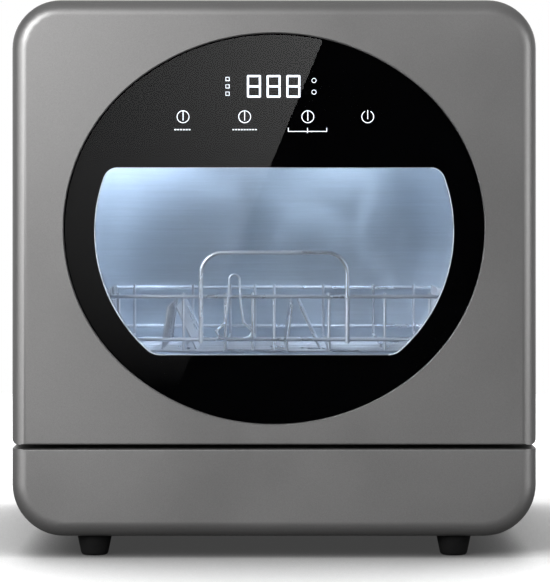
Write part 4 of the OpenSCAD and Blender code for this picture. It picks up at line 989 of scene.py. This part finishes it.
def make_world(ambient, dark):
    """White for the camera, and a white low backdrop behind the object for gloss and glass in a dark room"""
    world = bpy.data.worlds.new("Studio")
    bpy.context.scene.world = world
    world.use_nodes = True
    tree = world.node_tree
    look = tree.nodes.new("ShaderNodeTexCoord").outputs["Generated"]
    way = node(tree, "ShaderNodeSeparateXYZ", {"Vector": look})
    behind = node(tree, "ShaderNodeMapRange", {"Value": way.outputs["Y"], "From Min": -0.3, "From Max": 0.9})
    low = node(tree, "ShaderNodeMapRange", {"Value": way.outputs["Z"], "From Min": 0.55, "From Max": 0.3})
    backdrop = math_node(tree, "MULTIPLY", behind.outputs[0], low.outputs[0])
    ceiling = node(
        tree,
        "ShaderNodeMapRange",
        {"Value": way.outputs["Z"], "From Min": 0.2, "From Max": 0.8, "To Min": dark, "To Max": 0.45},
    )
    mirrored = node(tree, "ShaderNodeMix", {"Factor": backdrop, "A": ceiling.outputs[0], "B": 1.0}).outputs[0]
    path = tree.nodes.new("ShaderNodeLightPath")
    sharp = math_node(tree, "MAXIMUM", path.outputs["Is Glossy Ray"], path.outputs["Is Transmission Ray"])
    soft = node(tree, "ShaderNodeMix", {"Factor": sharp, "A": ambient, "B": mirrored})
    seen = path.outputs["Is Camera Ray"]
    level = node(tree, "ShaderNodeMix", {"Factor": seen, "A": soft.outputs[0], "B": 1.0})
    tree.links.new(level.outputs[0], tree.nodes["Background"].inputs["Strength"])
    tree.nodes["Background"].inputs["Color"].default_value = (1, 1, 1, 1)


def area_lamp(name, place, target, width, height, power, colour=(1, 1, 1), seen_in_gloss=True):
    """A soft rectangular lamp that points at a target and never shows itself to the camera."""
    data = bpy.data.lights.new(name, "AREA")
    data.shape = "RECTANGLE"
    data.size = width
    data.size_y = height
    data.energy = power
    data.color = colour
    lamp = bpy.data.objects.new(name, data)
    bpy.context.scene.collection.objects.link(lamp)
    lamp.location = place
    lamp.rotation_euler = (Vector(target) - Vector(place)).to_track_quat("-Z", "Y").to_euler()
    lamp.visible_camera = False
    lamp.visible_glossy = seen_in_gloss
    return lamp


class DISHWASHER_OT_stage(bpy.types.Operator):
    """Sets up the camera, the white floor, the lamps and the card that the glass mirrors"""

    bl_idname = "dishwasher.stage"
    bl_label = "Stage"

    def execute(self, context):
        given = stage()
        front = cad_box[0].y
        self.make_camera(front)
        self.make_floor()
        make_world(given.ambient, given.dark)
        self.make_lamps()
        self.make_card(front)
        context.scene.view_settings.view_transform = "Standard"
        return {"FINISHED"}

    def make_camera(self, front):
        """A level camera, lifted in its own picture plane as the photograph was framed"""
        given = stage()
        data = bpy.data.cameras.new("Camera")
        data.lens = data.sensor_width * given.distance / given.view_height
        data.shift_x = given.view_right / given.view_height
        data.shift_y = (given.view_middle - given.eye) / given.view_height
        camera = bpy.data.objects.new("Camera", data)
        bpy.context.scene.collection.objects.link(camera)
        camera.location = (0, front - given.distance, given.eye)
        camera.rotation_euler = (math.pi / 2, 0, 0)
        bpy.context.scene.camera = camera

    def make_floor(self):
        width, depth, middle = 3.2, 3.0, 0.25
        bpy.ops.mesh.primitive_plane_add(size=1, location=(0, middle, 0))
        floor = bpy.context.object
        floor.name = "Floor"
        floor.scale = (width, depth, 1)
        bpy.ops.object.transform_apply(location=True, rotation=True, scale=True)
        floor.data.materials.append(floor_material())

    def make_lamps(self):
        given = stage()
        middle = (0, 0, 0.24)
        left_edge, right_edge = (-0.2, -0.2, 0.26), (0.2, -0.2, 0.26)
        area_lamp("Key", (-1.25, -2.3, 1.15), middle, 0.9, 0.9, given.key)
        area_lamp("Fill", (1.5, -2.3, 0.8), middle, 1.4, 1.4, given.fill)
        area_lamp("Top", (0, 0.7, 2.2), (0, 0.2, 0), 2.4, 2.0, given.top, seen_in_gloss=False)
        area_lamp("Left Strip", (-1.15, -0.95, 0.3), left_edge, 1.0, 1.0, given.rim * 1.35)
        area_lamp("Right Strip", (1.2, -0.85, 0.3), right_edge, 0.55, 1.0, given.rim * 1.15)
        cool = (0.78, 0.89, 1.0)
        area_lamp("Inside Left", (-0.13, -0.06, 0.385), (-0.17, 0.12, 0.3), 0.08, 0.05, given.inside, cool)
        area_lamp(
            "Inside Right", (0.06, -0.06, 0.385), (0.05, 0.12, 0.3), 0.1, 0.05, given.inside * 0.2, cool
        )

    def make_card(self, front):
        """A pale card before the door, cut on the slant, that only the glossy surfaces mirror"""
        given = stage()
        away = 1.2
        grow = (given.distance + away) / given.distance
        top, low, left = 0.46, 0.06, -0.30
        (high_x, high_z), (low_x, low_z) = (0.040, 0.4236), (-0.0826, 0.1302)  # two points of its slant
        slope = (high_x - low_x) / (high_z - low_z)
        corners = [(left, low), (low_x + slope * (low - low_z), low)]
        corners += [(high_x + slope * (top - high_z), top), (left, top)]
        places = [(x * grow, front - away, given.eye + (z - given.eye) * grow) for x, z in corners]
        bpy.ops.mesh.primitive_plane_add(size=1)
        card = bpy.context.object
        card.name = "Card"
        for vertex, place in zip([card.data.vertices[i] for i in (0, 1, 3, 2)], places):
            vertex.co = place
        card.data.materials.append(self.card_material(slope))
        card.visible_camera = False
        card.visible_diffuse = False
        card.visible_shadow = False
        card.visible_transmission = False

    def card_material(self, slope):
        """Glows most along the card's slanted edge and towards its top"""
        made = bpy.data.materials.new("Card")
        made.use_nodes = True
        tree = made.node_tree
        tree.nodes.clear()
        place = tree.nodes.new("ShaderNodeTexCoord").outputs["Object"]
        parts = node(tree, "ShaderNodeSeparateXYZ", {"Vector": place})
        rise = math_node(tree, "MULTIPLY", parts.outputs["Z"], -slope)
        across = math_node(tree, "ADD", parts.outputs["X"], rise)
        near = node(
            tree,
            "ShaderNodeMapRange",
            {"Value": across, "From Min": -0.52, "From Max": -0.14, "To Min": 0.25, "To Max": 1.0},
        )
        high = node(
            tree,
            "ShaderNodeMapRange",
            {"Value": parts.outputs["Z"], "From Min": 0.06, "From Max": 0.5, "To Min": 0.0, "To Max": 1.4},
        )
        level = math_node(tree, "MULTIPLY", near.outputs[0], high.outputs[0])
        glow = node(tree, "ShaderNodeEmission", {"Strength": level})
        shown = tree.nodes.new("ShaderNodeOutputMaterial")
        tree.links.new(glow.outputs[0], shown.inputs["Surface"])
        return made


class DISHWASHER_PT_panel(bpy.types.Panel):
    """Lists the steps that dress the dishwasher"""

    bl_idname = "DISHWASHER_PT_panel"
    bl_label = "Dishwasher"
    bl_space_type = "VIEW_3D"
    bl_region_type = "UI"
    bl_category = "Dishwasher"

    def draw(self, context):
        layout = self.layout
        for group in (finish(), sizes(), stage()):
            box = layout.box()
            for name in group.__annotations__:
                box.prop(group, name)
        for operator in OPERATORS:
            layout.operator(operator.bl_idname)


OPERATORS = [
    DISHWASHER_OT_finishes,
    DISHWASHER_OT_feet,
    DISHWASHER_OT_screws,
    DISHWASHER_OT_painted_window_highlight,
    DISHWASHER_OT_glass,
    DISHWASHER_OT_pressings,
    DISHWASHER_OT_jets,
    DISHWASHER_OT_welds,
    DISHWASHER_OT_stage,
]
CLASSES = [DishwasherFinish, DishwasherSizes, DishwasherStage, *OPERATORS, DISHWASHER_PT_panel]


def register():
    for cls in CLASSES:
        bpy.utils.register_class(cls)
    bpy.types.Scene.dishwasher_finish = bpy.props.PointerProperty(type=DishwasherFinish)
    bpy.types.Scene.dishwasher_sizes = bpy.props.PointerProperty(type=DishwasherSizes)
    bpy.types.Scene.dishwasher_stage = bpy.props.PointerProperty(type=DishwasherStage)


def unregister():
    del bpy.types.Scene.dishwasher_stage
    del bpy.types.Scene.dishwasher_sizes
    del bpy.types.Scene.dishwasher_finish
    for cls in reversed(CLASSES):
        bpy.utils.unregister_class(cls)


def main():
    register()
    bpy.ops.dishwasher.finishes()
    bpy.ops.dishwasher.feet()
    bpy.ops.dishwasher.screws()
    bpy.ops.dishwasher.window_trim()
    bpy.ops.dishwasher.glass()
    bpy.ops.dishwasher.pressings()
    bpy.ops.dishwasher.jets()
    bpy.ops.dishwasher.welds()
    bpy.ops.dishwasher.stage()


if __name__ == "__main__":
    main()
